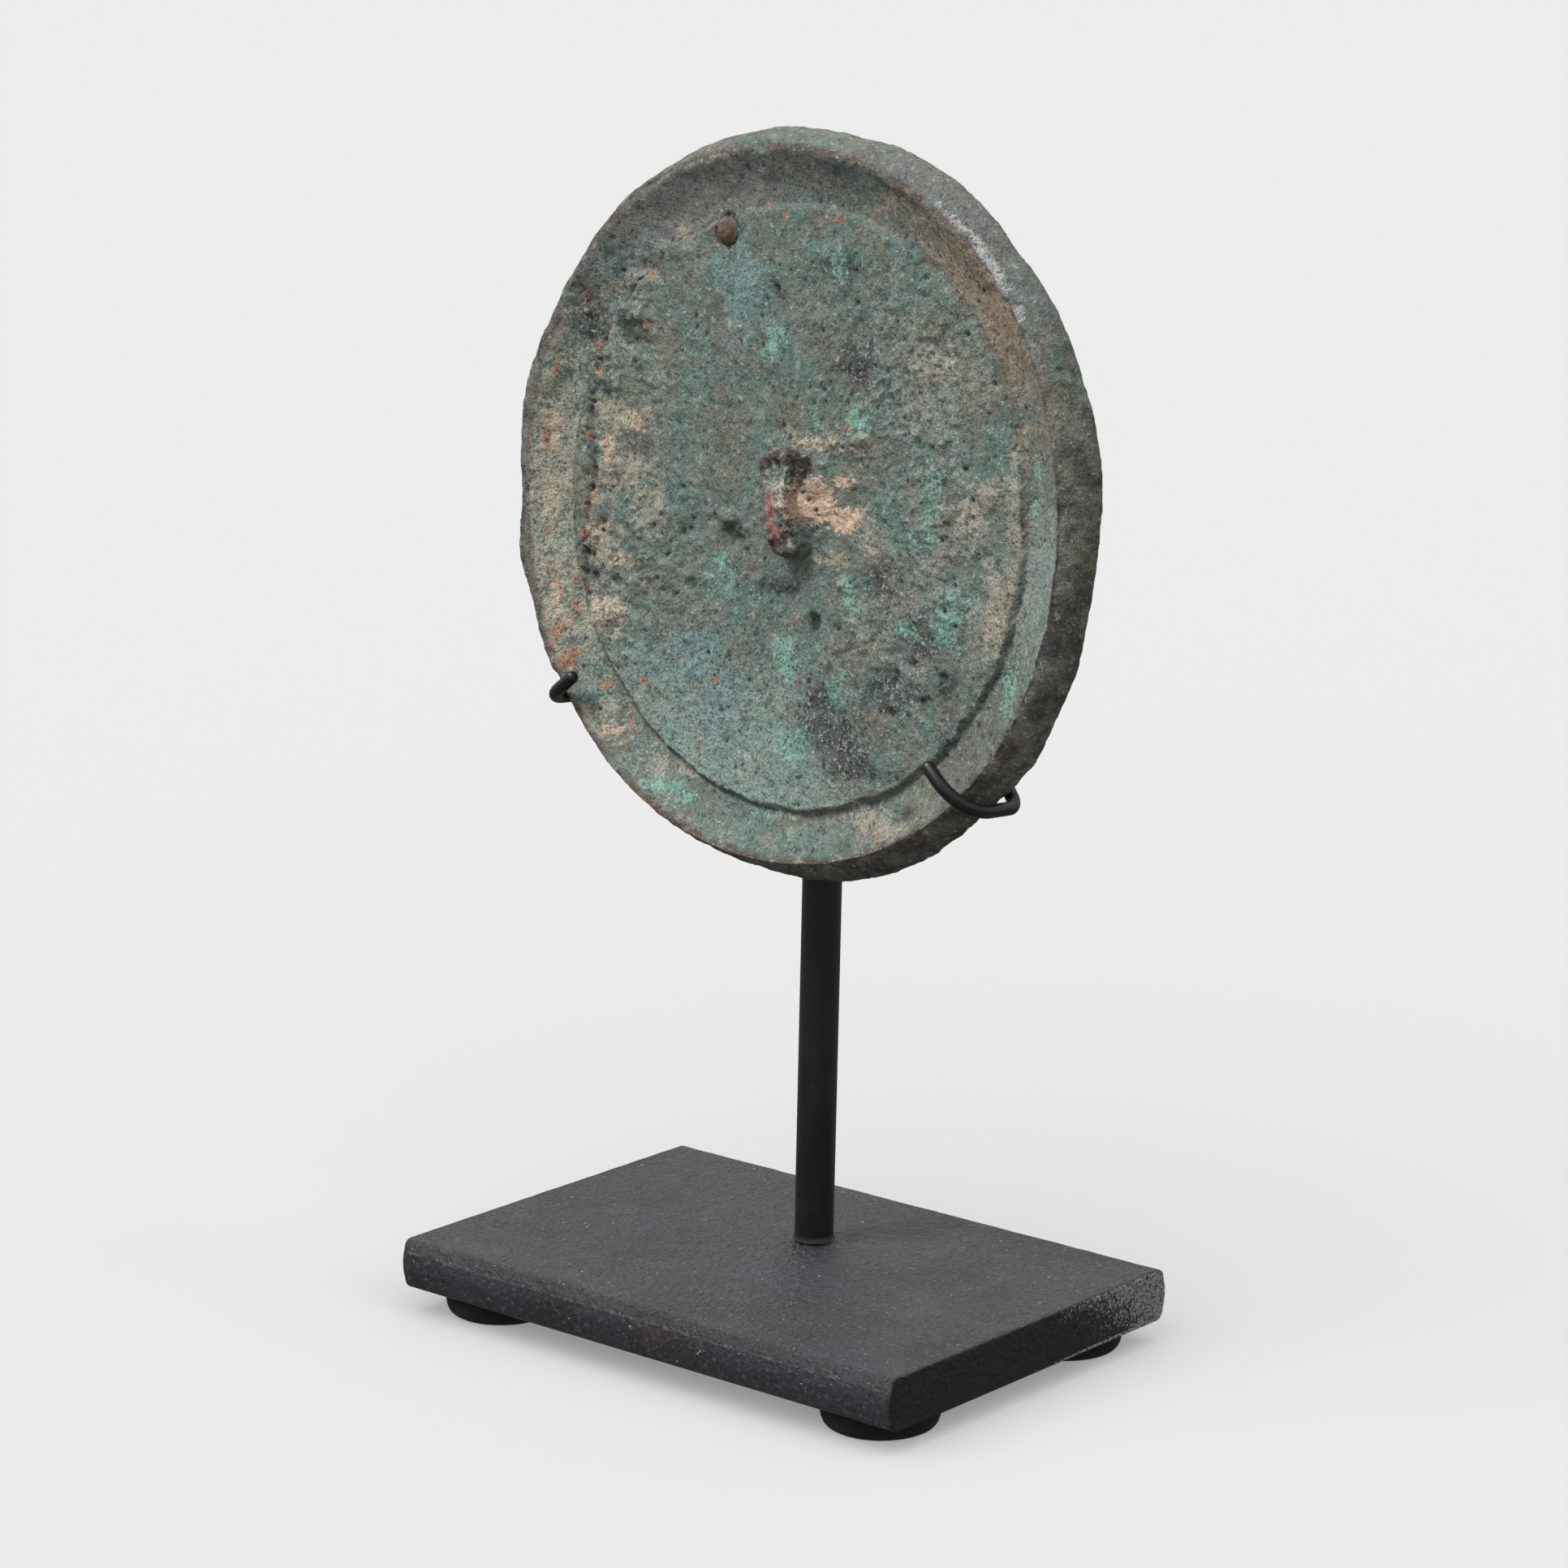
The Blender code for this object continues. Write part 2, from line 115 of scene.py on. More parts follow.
# %% Sky
SKY_ABOVE = 1.00
SKY_LEVEL = 0.60
SKY_BELOW = 0.20
DIM_UNDER = 0.44
LEVEL_AT = 0.53
scene = bpy.context.scene
scene.view_settings.view_transform = "Standard"
scene.view_settings.look = "None"
world = bpy.data.worlds.new("studio")
world.use_nodes = True
sky = world.node_tree
direction = sky.nodes.new("ShaderNodeTexCoord")
split = sky.nodes.new("ShaderNodeSeparateXYZ")
sky.links.new(direction.outputs["Generated"], split.inputs[0])
from_down_to_up = sky.nodes.new("ShaderNodeMapRange")
from_down_to_up.inputs["From Min"].default_value = -1.0
sky.links.new(split.outputs["Z"], from_down_to_up.inputs["Value"])
ramp = sky.nodes.new("ShaderNodeValToRGB")
sky.links.new(from_down_to_up.outputs["Result"], ramp.inputs["Fac"])
stops = ramp.color_ramp.elements
stops[0].position = DIM_UNDER
stops[0].color = (SKY_BELOW, SKY_BELOW, SKY_BELOW, 1.0)
stops[1].position = 1.0
stops[1].color = (SKY_ABOVE, SKY_ABOVE, SKY_ABOVE, 1.0)
level = stops.new(LEVEL_AT)
level.color = (SKY_LEVEL, SKY_LEVEL, SKY_LEVEL, 1.0)
sky.links.new(ramp.outputs["Color"], sky.nodes["Background"].inputs["Color"])
scene.world = world
print("sky: light", SKY_ABOVE, "above,", SKY_LEVEL, "at eye level,", SKY_BELOW, "below")

# %% Floor
FLOOR_HALF = 14.0
FLOOR_SHADE = 0.28
FLOOR_GLOW = 0.24

floor_mesh = bpy.data.meshes.new("floor")
corners = [(FLOOR_HALF * x, FLOOR_HALF * y, 0) for x, y in ((-1, -1), (1, -1), (1, 1), (-1, 1))]
floor_mesh.from_pydata(corners, [], [(0, 1, 2, 3)])
floor = bpy.data.objects.new("floor", floor_mesh)
scene.collection.objects.link(floor)
floor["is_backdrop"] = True
floor.visible_diffuse = False
floor.visible_glossy = False
floor_paint = bpy.data.materials.new("floor")
floor_paint.use_nodes = True
paper = floor_paint.node_tree.nodes["Principled BSDF"]
paper.inputs["Base Color"].default_value = (FLOOR_SHADE, FLOOR_SHADE, FLOOR_SHADE, 1.0)
paper.inputs["Roughness"].default_value = 1.0
paper.inputs["Specular IOR Level"].default_value = 0.0
paper.inputs["Emission Color"].default_value = (1.0, 1.0, 1.0, 1.0)
paper.inputs["Emission Strength"].default_value = FLOOR_GLOW
floor_mesh.materials.append(floor_paint)
print("floor of", 2 * FLOOR_HALF, "m")


# %% Lamps
GROUND_DIRECTION = Vector((0.40, -0.70, 0.59))
GROUND_STRENGTH = 6.3
GROUND_SPREAD = math.radians(130)
KEY_DIRECTION = Vector((-0.30, -0.50, 0.81))
KEY_STRENGTH = 2.9
KEY_SPREAD = math.radians(18)


def add_lamp(name, toward, strength, spread, floor_only):
    """A sun lamp that lights either the floor alone or all but the floor."""
    lamp = bpy.data.lights.new(name, "SUN")
    lamp.energy = strength
    lamp.angle = spread
    holder = bpy.data.objects.new(name, lamp)
    holder.rotation_mode = "QUATERNION"
    holder.rotation_quaternion = toward.to_track_quat("Z", "Y")
    scene.collection.objects.link(holder)
    lit = bpy.data.collections.new(name + "_lights")
    lit.objects.link(floor)
    holder.light_linking.receiver_collection = lit
    lit.collection_objects[0].light_linking.link_state = "INCLUDE" if floor_only else "EXCLUDE"
    print(name, "strength", strength, "spread", round(math.degrees(spread)), "degrees")


add_lamp("soft_key", KEY_DIRECTION, KEY_STRENGTH, KEY_SPREAD, False)
add_lamp("ground_lamp", GROUND_DIRECTION, GROUND_STRENGTH, GROUND_SPREAD, True)

# %% [markdown]
# # Noise, the raw material of wear
# Corrosion, mill scale and paint are irregular at every size. Sculpting them by hand would take
# days and could not be changed later. A block of random numbers, read smoothly between its cells,
# gives such values at any point in space, and the same ones each time. Layers of it at halving
# sizes look natural, and centres scattered one to a cell give pits and crystals.

# %% Smooth noise
BLOCK = 48
RANDOM_BLOCK = np.random.default_rng(11).random((BLOCK, BLOCK, BLOCK, 4))
NOISE_SPREAD = 3.2
TWIST = np.array([[0.36, 0.48, -0.80], [-0.80, 0.60, 0.00], [0.48, 0.64, 0.60]])


def smooth(low, high, value):
    """0 under low, 1 over high, and an even curve between."""
    t = np.clip((value - low) / (high - low), 0.0, 1.0)
    return t * t * (3.0 - 2.0 * t)


def value_noise(points, size, seed):
    """Random values from 0 to 1 that change smoothly over about one size."""
    p = points / size + np.array([seed * 7.31, seed * 3.17, seed * 5.73])
    low = np.floor(p).astype(int)
    share = p - low
    share = share * share * (3.0 - 2.0 * share)
    total = np.zeros(len(points))
    for corner in range(8):
        step = np.array([corner & 1, corner >> 1 & 1, corner >> 2 & 1])
        cell = (low + step) % BLOCK
        weight = np.prod(np.where(step, share, 1.0 - share), axis=1)
        total += weight * RANDOM_BLOCK[cell[:, 0], cell[:, 1], cell[:, 2], 0]
    return total


def layered_noise(points, size, seed, layers=4, fade=0.55):
    """Several sizes of noise together, each turned against the last, mostly from -1 to 1."""
    total, weight, sum_of_weights = np.zeros(len(points)), 1.0, 0.0
    for layer in range(layers):
        total += weight * (value_noise(points, size, seed + layer) - 0.5)
        sum_of_weights += weight
        weight, size, points = weight * fade, size / 2.03, points @ TWIST
    return total / sum_of_weights * NOISE_SPREAD


print("random block:", RANDOM_BLOCK.shape)


# %% Scattered centres
def scattered(points, size, seed):
    """Distance to the nearest of centres scattered one to a cell, and that centre's own number."""
    p = points / size + np.array([seed * 2.93, seed * 6.11, seed * 4.39])
    low = np.floor(p).astype(int)
    nearest, number = np.full(len(points), 9.0), np.zeros(len(points))
    for near in range(27):
        cell = low + np.array([near % 3 - 1, near // 3 % 3 - 1, near // 9 - 1])
        inside = cell % BLOCK
        random = RANDOM_BLOCK[inside[:, 0], inside[:, 1], inside[:, 2]]
        far = np.linalg.norm(cell + random[:, :3] - p, axis=1)
        closer = far < nearest
        nearest[closer], number[closer] = far[closer], random[closer, 3]
    return nearest * size, number


# %% [markdown]
# # From points to pieces
# Every piece here is a closed skin made of rings of points, because rings follow round stock, a
# sawn bar and a turned pad equally well, and leave no stray faces. One helper turns points and
# faces into an object, ties it to the part's body, hides the node that it stands for, and gives it
# its finish.

# %% Make a piece and join rings
def make_piece(name, node, points, faces, material, sharp=60, values=None):
    """Object from points in metres; values are numbers per point that its material reads."""
    mesh = bpy.data.meshes.new(name)
    mesh.from_pydata(points.tolist(), [], faces)
    mesh.shade_smooth()
    mesh.set_sharp_from_angle(angle=math.radians(sharp))
    for label, numbers in (values or {}).items():
        layer = mesh.attributes.new(label, "FLOAT", "POINT")
        layer.data.foreach_set("value", np.ascontiguousarray(numbers, dtype=np.float32))
    mesh.materials.append(material)
    piece = bpy.data.objects.new(name, mesh)
    scene.collection.objects.link(piece)
    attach(piece, "root")
    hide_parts(node)
    print(name, len(points), "points,", len(faces), "faces")
    return piece


def ring_faces(first, second, count):
    """Faces between two rings of the same count, given the number of each one's first point."""
    here = np.arange(count)
    after = (here + 1) % count
    return np.stack([first + here, first + after, second + after, second + here], axis=1).tolist()


def point_normals(points, faces):
    """Average direction of the skin of triangles and quads at each point."""
    normals = np.zeros_like(points)
    for face in (np.array([f for f in faces if len(f) == k]) for k in (3, 4)):
        if len(face) == 0:
            continue
        corner_points = [points[face[:, k]] for k in range(face.shape[1])]
        if face.shape[1] == 3:
            first, second, third = corner_points
            across = np.cross(second - first, third - first)
        else:
            first, second, third, fourth = corner_points
            across = np.cross(third - first, fourth - second)
        for corner in range(face.shape[1]):
            np.add.at(normals, face[:, corner], across)
    return normals / np.maximum(np.linalg.norm(normals, axis=1, keepdims=True), 1e-12)


# %% [markdown]
# # A short hand for finishes
# A finish is a small network: where a point is, noise at that place, and rules that turn the
# noise into colour, roughness and fine relief. It could be wired by hand in the node editor, but
# in code each rule is one line, and the same rule serves many colours.

# %% Helpers for material networks
def tone(red, green, blue):
    """A colour as read off a screen, from 0 to 255, as the light that it stands for."""
    shares = [level / 255 for level in (red, green, blue)]
    light = [s / 12.92 if s <= 0.0404 else ((s + 0.055) / 1.055) ** 2.4 for s in shares]
    return (*light, 1.0)


def shade(tree, kind, inputs, **settings):
    """A node of that kind, with its inputs set or linked and its settings made."""
    node = tree.nodes.new(kind)
    for name, value in settings.items():
        setattr(node, name, value)
    for key_name, value in inputs.items():
        socket = node.inputs[key_name]
        if isinstance(value, bpy.types.NodeSocket):
            tree.links.new(value, socket)
        else:
            socket.default_value = value
    return node


def place_in_mm(tree):
    where = shade(tree, "ShaderNodeTexCoord", {}).outputs["Object"]
    scaled = shade(tree, "ShaderNodeVectorMath", {0: where, "Scale": 1.0 / MM}, operation="SCALE")
    return scaled.outputs[0]


def grain(tree, where, size, detail=3.0, roughness=0.6, shift=0.0):
    """Noise from 0 to 1 with lumps of about that many millimetres."""
    return shade(tree, "ShaderNodeTexNoise", {
        "Vector": where, "W": shift, "Scale": 1.0 / size, "Detail": detail, "Roughness": roughness,
    }, noise_dimensions="4D").outputs["Fac"]


def ranged(tree, value, low, high, to_low=0.0, to_high=1.0):
    """Turns low to high into to_low to to_high, with soft ends."""
    return shade(tree, "ShaderNodeMapRange", {
        "Value": value, "From Min": low, "From Max": high, "To Min": to_low, "To Max": to_high,
    }, interpolation_type="SMOOTHSTEP").outputs["Result"]


def combined(tree, operation, first, second):
    return shade(tree, "ShaderNodeMath", {0: first, 1: second}, operation=operation).outputs[0]


def mixed(tree, share, first, second, blend="MIX"):
    """The first colour, and the second over it as far as share says."""
    sockets = {0: share, 6: first, 7: second}
    return shade(tree, "ShaderNodeMix", sockets, data_type="RGBA", blend_type=blend).outputs[2]


print("middle grey of a screen as light:", round(tone(128, 128, 128)[0], 3))


# %% Helpers for relief and finishing
def painted(tree, label):
    """The numbers per point that a mesh carries under a label."""
    return shade(tree, "ShaderNodeAttribute", {}, attribute_name=label).outputs["Fac"]


def raised(tree, height, depth, before=None):
    """Fine relief too small for the mesh, as deep as that many millimetres."""
    inputs = {"Height": height, "Distance": depth * MM, "Strength": 1.0}
    if before is not None:
        inputs["Normal"] = before
    return shade(tree, "ShaderNodeBump", inputs).outputs["Normal"]


def new_finish(name):
    material = bpy.data.materials.new(name)
    material.use_nodes = True
    return material, material.node_tree, material.node_tree.nodes["Principled BSDF"]


def finish_with(tree, shader, colour, roughness, normal):
    tree.links.new(colour, shader.inputs["Base Color"])
    tree.links.new(roughness, shader.inputs["Roughness"])
    tree.links.new(normal, shader.inputs["Normal"])
    print("finish with", len(tree.nodes), "nodes")


# %% [markdown]
# # Black paint over hot rolled steel
# The plate was sawn from bar whose skin of mill scale is slightly bumpy, then sprayed with thin
# matte black paint. From low down its top mirrors the pale room, so it looks grey. One even black
# would look like plastic, so the black wanders between cold, rusty and dusty. The bumps of the
# scale are painted pale, as wear and as a painted highlight, and darker in their dips. The long
# faces just under the top edge and the sawn ends are painted nearly black, as painted shade. The
# sawn ends keep fine upright streaks, and paint has rubbed off a part of the right end.

# %% Plate finish
def plate_finish():
    material, tree, shader = new_finish("plate_paint")
    where = place_in_mm(tree)
    broad = grain(tree, where, 12.0, 5.0, 0.6)
    patches = grain(tree, where, 6.0, 5.0, 0.65, 3.0)
    waves = grain(tree, where, 1.5, 3.0, 0.55, 6.0)
    peel = grain(tree, where, 0.62, 3.0, 0.55)
    fine = grain(tree, where, 0.20, 2.0, 0.6)
    specks = grain(tree, where, 0.42, 1.0, 0.5, 7.0)
    black = mixed(tree, ranged(tree, broad, 0.36, 0.64), tone(30, 30, 34), tone(46, 43, 49))
    rusty = mixed(tree, ranged(tree, patches, 0.54, 0.68, 0.0, 0.6), black, tone(52, 42, 45))
    dusty = mixed(tree, ranged(tree, patches, 0.46, 0.34, 0.0, 0.5), rusty, tone(56, 55, 58))
    # The bumps of the scale are painted pale on top, as wear and as a painted highlight, and darker in their
    # dips.
    worn = mixed(tree, ranged(tree, peel, 0.55, 0.67, 0.0, 0.65), dusty, tone(88, 83, 90))
    worn = mixed(tree, ranged(tree, peel, 0.44, 0.33, 0.0, 0.75), worn, tone(15, 14, 18))
    dusted = mixed(tree, ranged(tree, specks, 0.735, 0.765), worn, tone(176, 168, 156))
    rubbed = painted(tree, "rubbed")
    crumbs = combined(tree, "ADD", grain(tree, where, 0.32, 3.0, 0.80, 2.0), rubbed)
    bare = ranged(tree, crumbs, 1.12, 1.22)
    # Painted shade: the marked band under the top edge and the sawn ends are painted nearly black; they are
    # also rougher.
    side_shade = combined(tree, "MULTIPLY", painted(tree, "side"), 0.92)
    colour = mixed(tree, side_shade, dusted, tone(11, 10, 14))
    colour = mixed(tree, bare, colour, tone(152, 150, 151))
    streaks = painted(tree, "sawn")
    along = shade(tree, "ShaderNodeMapping", {"Vector": where, "Scale": (1.0, 1.0, 0.10)}).outputs[0]
    sawing = grain(tree, along, 0.40, 3.0, 0.7)
    streak = combined(tree, "MULTIPLY", sawing, streaks)
    scratched = combined(tree, "MULTIPLY", ranged(tree, sawing, 0.62, 0.72, 0.0, 0.5), streaks)
    colour = mixed(tree, scratched, colour, tone(70, 72, 78))
    lively = painted(tree, "lively")
    relief = raised(tree, combined(tree, "MULTIPLY", waves, lively), 0.75)
    relief = raised(tree, combined(tree, "MULTIPLY", peel, lively), 0.75, relief)
    relief = raised(tree, fine, 0.045, relief)
    relief = raised(tree, streak, 0.16, relief)
    relief = raised(tree, bare, 0.06, relief)
    glossy = ranged(tree, patches, 0.3, 0.7, 0.36, 0.50)
    rough = combined(tree, "ADD", glossy, combined(tree, "MULTIPLY", side_shade, 0.30))
    finish_with(tree, shader, colour, rough, relief)
    return material


# %% [markdown]
# # Satin black on the rods, and rubber pads
# The post and the hooks are smooth drawn rod with the same spray, a little glossier. The pads are
# dull rubber or felt that has picked up brown dust. Both are simpler than the plate, so one to
# three noises are enough.

# %% Rod and pad finishes
def rod_finish():
    material, tree, shader = new_finish("rod_paint")
    where = place_in_mm(tree)
    broad = grain(tree, where, 6.0, 3.0)
    fine = grain(tree, where, 0.18, 2.0, 0.6)
    dust = ranged(tree, grain(tree, where, 0.3, 1.0, 0.5, 5.0), 0.77, 0.81)
    black = mixed(tree, ranged(tree, broad, 0.3, 0.7), tone(5, 6, 10), tone(12, 13, 18))
    colour = mixed(tree, dust, black, tone(110, 104, 98))
    rough = ranged(tree, broad, 0.3, 0.7, 0.34, 0.46)
    finish_with(tree, shader, colour, rough, raised(tree, fine, 0.022))
    return material


def pad_finish():
    material, tree, shader = new_finish("pad_rubber")
    where = place_in_mm(tree)
    fine = grain(tree, where, 0.35, 4.0, 0.7)
    brown = mixed(tree, ranged(tree, fine, 0.50, 0.72), tone(12, 11, 13), tone(36, 33, 33))
    rough = ranged(tree, fine, 0.3, 0.7, 0.80, 0.95)
    finish_with(tree, shader, brown, rough, raised(tree, fine, 0.06))
    return material


plate_paint = plate_finish()
rod_paint = rod_finish()
pad_rubber = pad_finish()

# %% [markdown]
# # The plate
# Hot rolled bar has rounded edges and slightly swollen sides, and its sawn ends are crisp. A cube
# with bevels would give all edges the same round. Here the bar's outline is followed round once,
# with points close together on the bumpy top, and repeated along the length. The last rings draw
# in a little, which breaks the sawn edges.

# %% Outline of the bar
PLATE_LENGTH = 76.2
PLATE_WIDTH = 52.2
PLATE_THICKNESS = 6.35
UPPER_ROUND = 1.1
LOWER_ROUND = 1.3
SIDE_BULGE = 0.35
PLATE_CENTRE_X = -0.15
PLATE_BOTTOM = 3.0
PLATE_TOP = PLATE_BOTTOM + PLATE_THICKNESS
EDGE_BREAK = 0.14
TOP_SPACING = 0.55
SIDE_POINTS = 6
UNDER_POINTS = 12


def quarter_round(radius, inner, half_height, steps=7):
    """From the flat face out to the side, as (y, z)."""
    turn = np.radians(90) * (1 - np.arange(steps + 1) / steps)
    out, up = inner - radius + radius * np.cos(turn), half_height - radius + radius * np.sin(turn)
    return np.stack([out, up], axis=1)


def bar_outline():
    half, half_height = PLATE_WIDTH / 2, PLATE_THICKNESS / 2
    inner = half - SIDE_BULGE
    upper = quarter_round(UPPER_ROUND, inner, half_height)
    lower = quarter_round(LOWER_ROUND, inner, half_height)[::-1] * [1, -1]
    share = np.linspace(0, 1, SIDE_POINTS + 2)[1:-1]
    side_height = upper[-1, 1] + (lower[0, 1] - upper[-1, 1]) * share
    side = np.stack([half - SIDE_BULGE * (2 * share - 1) ** 2, side_height], axis=1)
    front_to_top = np.concatenate([lower[::-1], side[::-1], upper[::-1]]) * [-1, 1]
    count = int(2 * upper[0, 0] / TOP_SPACING)
    across = np.linspace(-upper[0, 0], upper[0, 0], count + 1)[1:-1]
    top = np.stack([across, np.full(len(across), half_height)], axis=1)
    top_to_back = np.concatenate([upper, side, lower])
    under = np.linspace(lower[-1, 0], -lower[-1, 0], UNDER_POINTS + 2)[1:-1]
    bottom = np.stack([under, np.full(len(under), -half_height)], axis=1)
    return np.concatenate([front_to_top, top, top_to_back, bottom])


print("points round the bar:", len(bar_outline()))


# %% Rings of the plate
SCALE_DEPTH = 0.035
SWELL_DEPTH = 0.02
SKIN_MARGIN = 0.03
DEEPEST_DENT = 0.12


def plate_rings():
    """Points around the bar's middle, with the point numbers of its faces."""
    outline = bar_outline()
    half = PLATE_LENGTH / 2
    inner = np.linspace(-half + EDGE_BREAK, half - EDGE_BREAK, int(PLATE_LENGTH / TOP_SPACING))
    ends = [(half, 2.2), (half, 1.0), (half - EDGE_BREAK * 0.3, 0.35)]
    stations = [(-x, inset) for x, inset in ends]
    stations += [(x, 0.0) for x in inner]
    stations += [(x, inset) for x, inset in ends[::-1]]
    rings = []
    for x, inset in stations:
        drawn_in = 1 - inset * EDGE_BREAK / np.array([PLATE_WIDTH / 2, PLATE_THICKNESS / 2])
        ring = outline * drawn_in
        rings.append(np.column_stack([np.full(len(ring), x), ring]))
    count = len(outline)
    faces = []
    for k in range(len(rings) - 1):
        faces += ring_faces(k * count, (k + 1) * count, count)
    faces.append(list(range(count)))
    faces.append(list(range((len(rings) - 1) * count, len(rings) * count))[::-1])
    return np.concatenate(rings), faces


print("points on the plate:", len(plate_rings()[0]))


# %% Skin of the plate
def make_plate():
    points, faces = plate_rings()
    half, half_width = PLATE_LENGTH / 2, PLATE_WIDTH / 2
    on_top = smooth(1.6, 3.0, points[:, 2])
    on_side = smooth(half_width - 1.1, half_width - 0.4, np.abs(points[:, 1])) * (1 - on_top)
    scale, swell = layered_noise(points, 2.4, 31, 3), layered_noise(points, 16.0, 35, 2)
    dents = (SKIN_MARGIN + scale * SCALE_DEPTH + swell * SWELL_DEPTH).clip(0.0, DEEPEST_DENT)
    points[:, 2] -= on_top * dents
    points[:, 1] -= np.sign(points[:, 1]) * on_side * dents
    sawn = smooth(half - 0.25, half - 0.05, np.abs(points[:, 0]))
    toward_far_end = smooth(-16.0, 12.0, points[:, 1] - 0.9 * points[:, 2])
    rubbed = sawn * toward_far_end * (points[:, 0] > 0) * 0.72
    # Painted shade: marks a band just under the top edge of the long faces, and the sawn ends, to be painted
    # darker.
    below_edge = (points[:, 2] - PLATE_THICKNESS / 2 + 1.0) / 0.9
    near_side = smooth(half_width - 1.2, half_width - 0.7, np.abs(points[:, 1]))
    side = np.maximum(0.6 * np.exp(-below_edge ** 2) * near_side, sawn)
    points += [PLATE_CENTRE_X, 0.0, PLATE_BOTTOM + PLATE_THICKNESS / 2]
    values = {"sawn": sawn, "rubbed": rubbed, "side": side, "lively": 0.30 + 0.70 * on_top}
    make_piece("plate_skin", "base_plate", points * MM, faces, plate_paint, 50, values)


make_plate()

# %% [markdown]
# # Four pads
# Stick-on pads are shallow domes, wider at the top where they hold the plate. Each is turned: one
# profile of radius and height goes round in a circle. A tiny wobble keeps the edge from looking
# machined.

# %% Pads
PAD_DIAMETER = 14.0
PAD_TAPER = 1.7
PAD_HEIGHT = 2.7
PAD_END_MARGIN = 1.45
PAD_SIDE_MARGIN = 1.8
PAD_SEGMENTS = 72
PAD_WOBBLE = 0.006


def turned_rings(profile, middle, segments):
    """Rings of a turned shape from (radius, height) pairs, with the point numbers of its faces."""
    angles = np.linspace(0, 2 * np.pi, segments, endpoint=False)
    circle = np.column_stack([np.cos(angles), np.sin(angles), np.zeros(segments)])
    rings = [radius * circle + [0.0, 0.0, height] for radius, height in profile]
    points = np.concatenate(rings) + middle
    faces = []
    for k in range(len(profile) - 1):
        faces += ring_faces(k * segments, (k + 1) * segments, segments)
    faces.append(list(range(segments))[::-1])
    faces.append(list(range((len(profile) - 1) * segments, len(profile) * segments)))
    return points, faces


def pad_profile():
    """From the underside's edge up the steep side to the glued top."""
    outer = PAD_DIAMETER / 2
    shares = np.array([0.0, 0.03, 0.10, 0.22, 0.42, 0.65, 0.85, 0.97])
    drawn_in = PAD_TAPER * (1 - (1 - (1 - shares) ** 2.8) ** 0.357)
    side = [(outer - inset, PAD_HEIGHT * share) for inset, share in zip(drawn_in, shares)]
    top = [(outer - 0.12, PAD_HEIGHT), (outer - 0.6, PAD_HEIGHT)]
    return [(outer - PAD_TAPER - 0.5, 0.0)] + side + top


print("rings of a pad:", len(pad_profile()))


# %% Turn the pads
def make_pads():
    from_middle = PLATE_LENGTH / 2 - PAD_DIAMETER / 2 - PAD_END_MARGIN
    from_axis = PLATE_WIDTH / 2 - PAD_DIAMETER / 2 - PAD_SIDE_MARGIN
    for depth_name, depth in (("front", -1), ("back", 1)):
        for side_name, side in (("left", -1), ("right", 1)):
            middle = np.array([PLATE_CENTRE_X + side * from_middle, depth * from_axis, 0.0])
            points, faces = turned_rings(pad_profile(), middle, PAD_SEGMENTS)
            out = (points - middle) * [1, 1, 0]
            wobble = np.abs(layered_noise(points, 1.2, 41, 2)) * PAD_WOBBLE
            on_side = (points[:, 2] > 0.05) & (points[:, 2] < 2.5)
            points -= out * (wobble * on_side)[:, None]
            place = f"{depth_name}_{side_name}"
            make_piece(f"pad_{place}", f"foot_{place}", points * MM, faces, pad_rubber)


make_pads()

# %% [markdown]
# # Where the mirror leans
# The mirror leans back on the round tip of the post. Its place could be typed in as a matrix, but
# it follows from the post's lean, the mirror's lean and the gap kept for the paint, as in the
# part's own source, and so every later piece can be placed on the mirror.

# %% Sizes of the stand and place of the mirror
GAP = 0.3
POST_RADIUS = 2.38
POST_BEHIND = 6.47
POST_BESIDE = -0.26
POST_LEAN_SIDE = math.radians(0.86)
POST_LEAN_BACK = math.radians(0.59)
POST_TIP_ABOVE_CENTRE = 14.0
WELD_SIZE = 0.2
MIRROR_CENTRE_Z = PLATE_TOP + 90.6
MIRROR_CENTRE_X = PLATE_CENTRE_X + 0.29
MIRROR_LEAN = math.radians(4.1)
MIRROR_TURN = math.radians(-1.84)
MIRROR_RADIUS = 44.15
FACE_BULGE = 0.6


def post_axis(height):
    rise = height - PLATE_TOP
    return Vector((
        PLATE_CENTRE_X + POST_BESIDE + rise * math.tan(POST_LEAN_SIDE),
        POST_BEHIND + rise * math.tan(POST_LEAN_BACK),
        height,
    ))


def mirror_place():
    turn = Matrix.Rotation(MIRROR_TURN, 4, "Z") @ Matrix.Rotation(-MIRROR_LEAN, 4, "X")
    away = turn.to_3x3() @ Vector((0.0, 1.0, 0.0))
    tip = post_axis(MIRROR_CENTRE_Z + POST_TIP_ABOVE_CENTRE)
    hollow = FACE_BULGE * (1 - (POST_TIP_ABOVE_CENTRE / MIRROR_RADIUS) ** 2)
    reach_back = POST_RADIUS + GAP + hollow
    beside = (tip.x - MIRROR_CENTRE_X) * away.x
    above = (tip.z - MIRROR_CENTRE_Z) * away.z
    centre_y = tip.y - (reach_back - beside - above) / away.y
    return Matrix.Translation((MIRROR_CENTRE_X, centre_y, MIRROR_CENTRE_Z)) @ turn


MIRROR_MATRIX = mirror_place()
print("mirror's middle in mm:", [round(v, 2) for v in MIRROR_MATRIX.translation])

# %% [markdown]
# # The post and its weld
# A drawn rod stands on the plate with a small fillet of weld at its foot. Its upper end is dressed
# round, so that it bears on the bronze at one soft point. Rings along the axis, wider at the foot
# and narrowing over the tip, give rod, weld and dome in one skin.

# %% Post
POST_SEGMENTS = 48
WELD_ROUGHNESS = 0.02


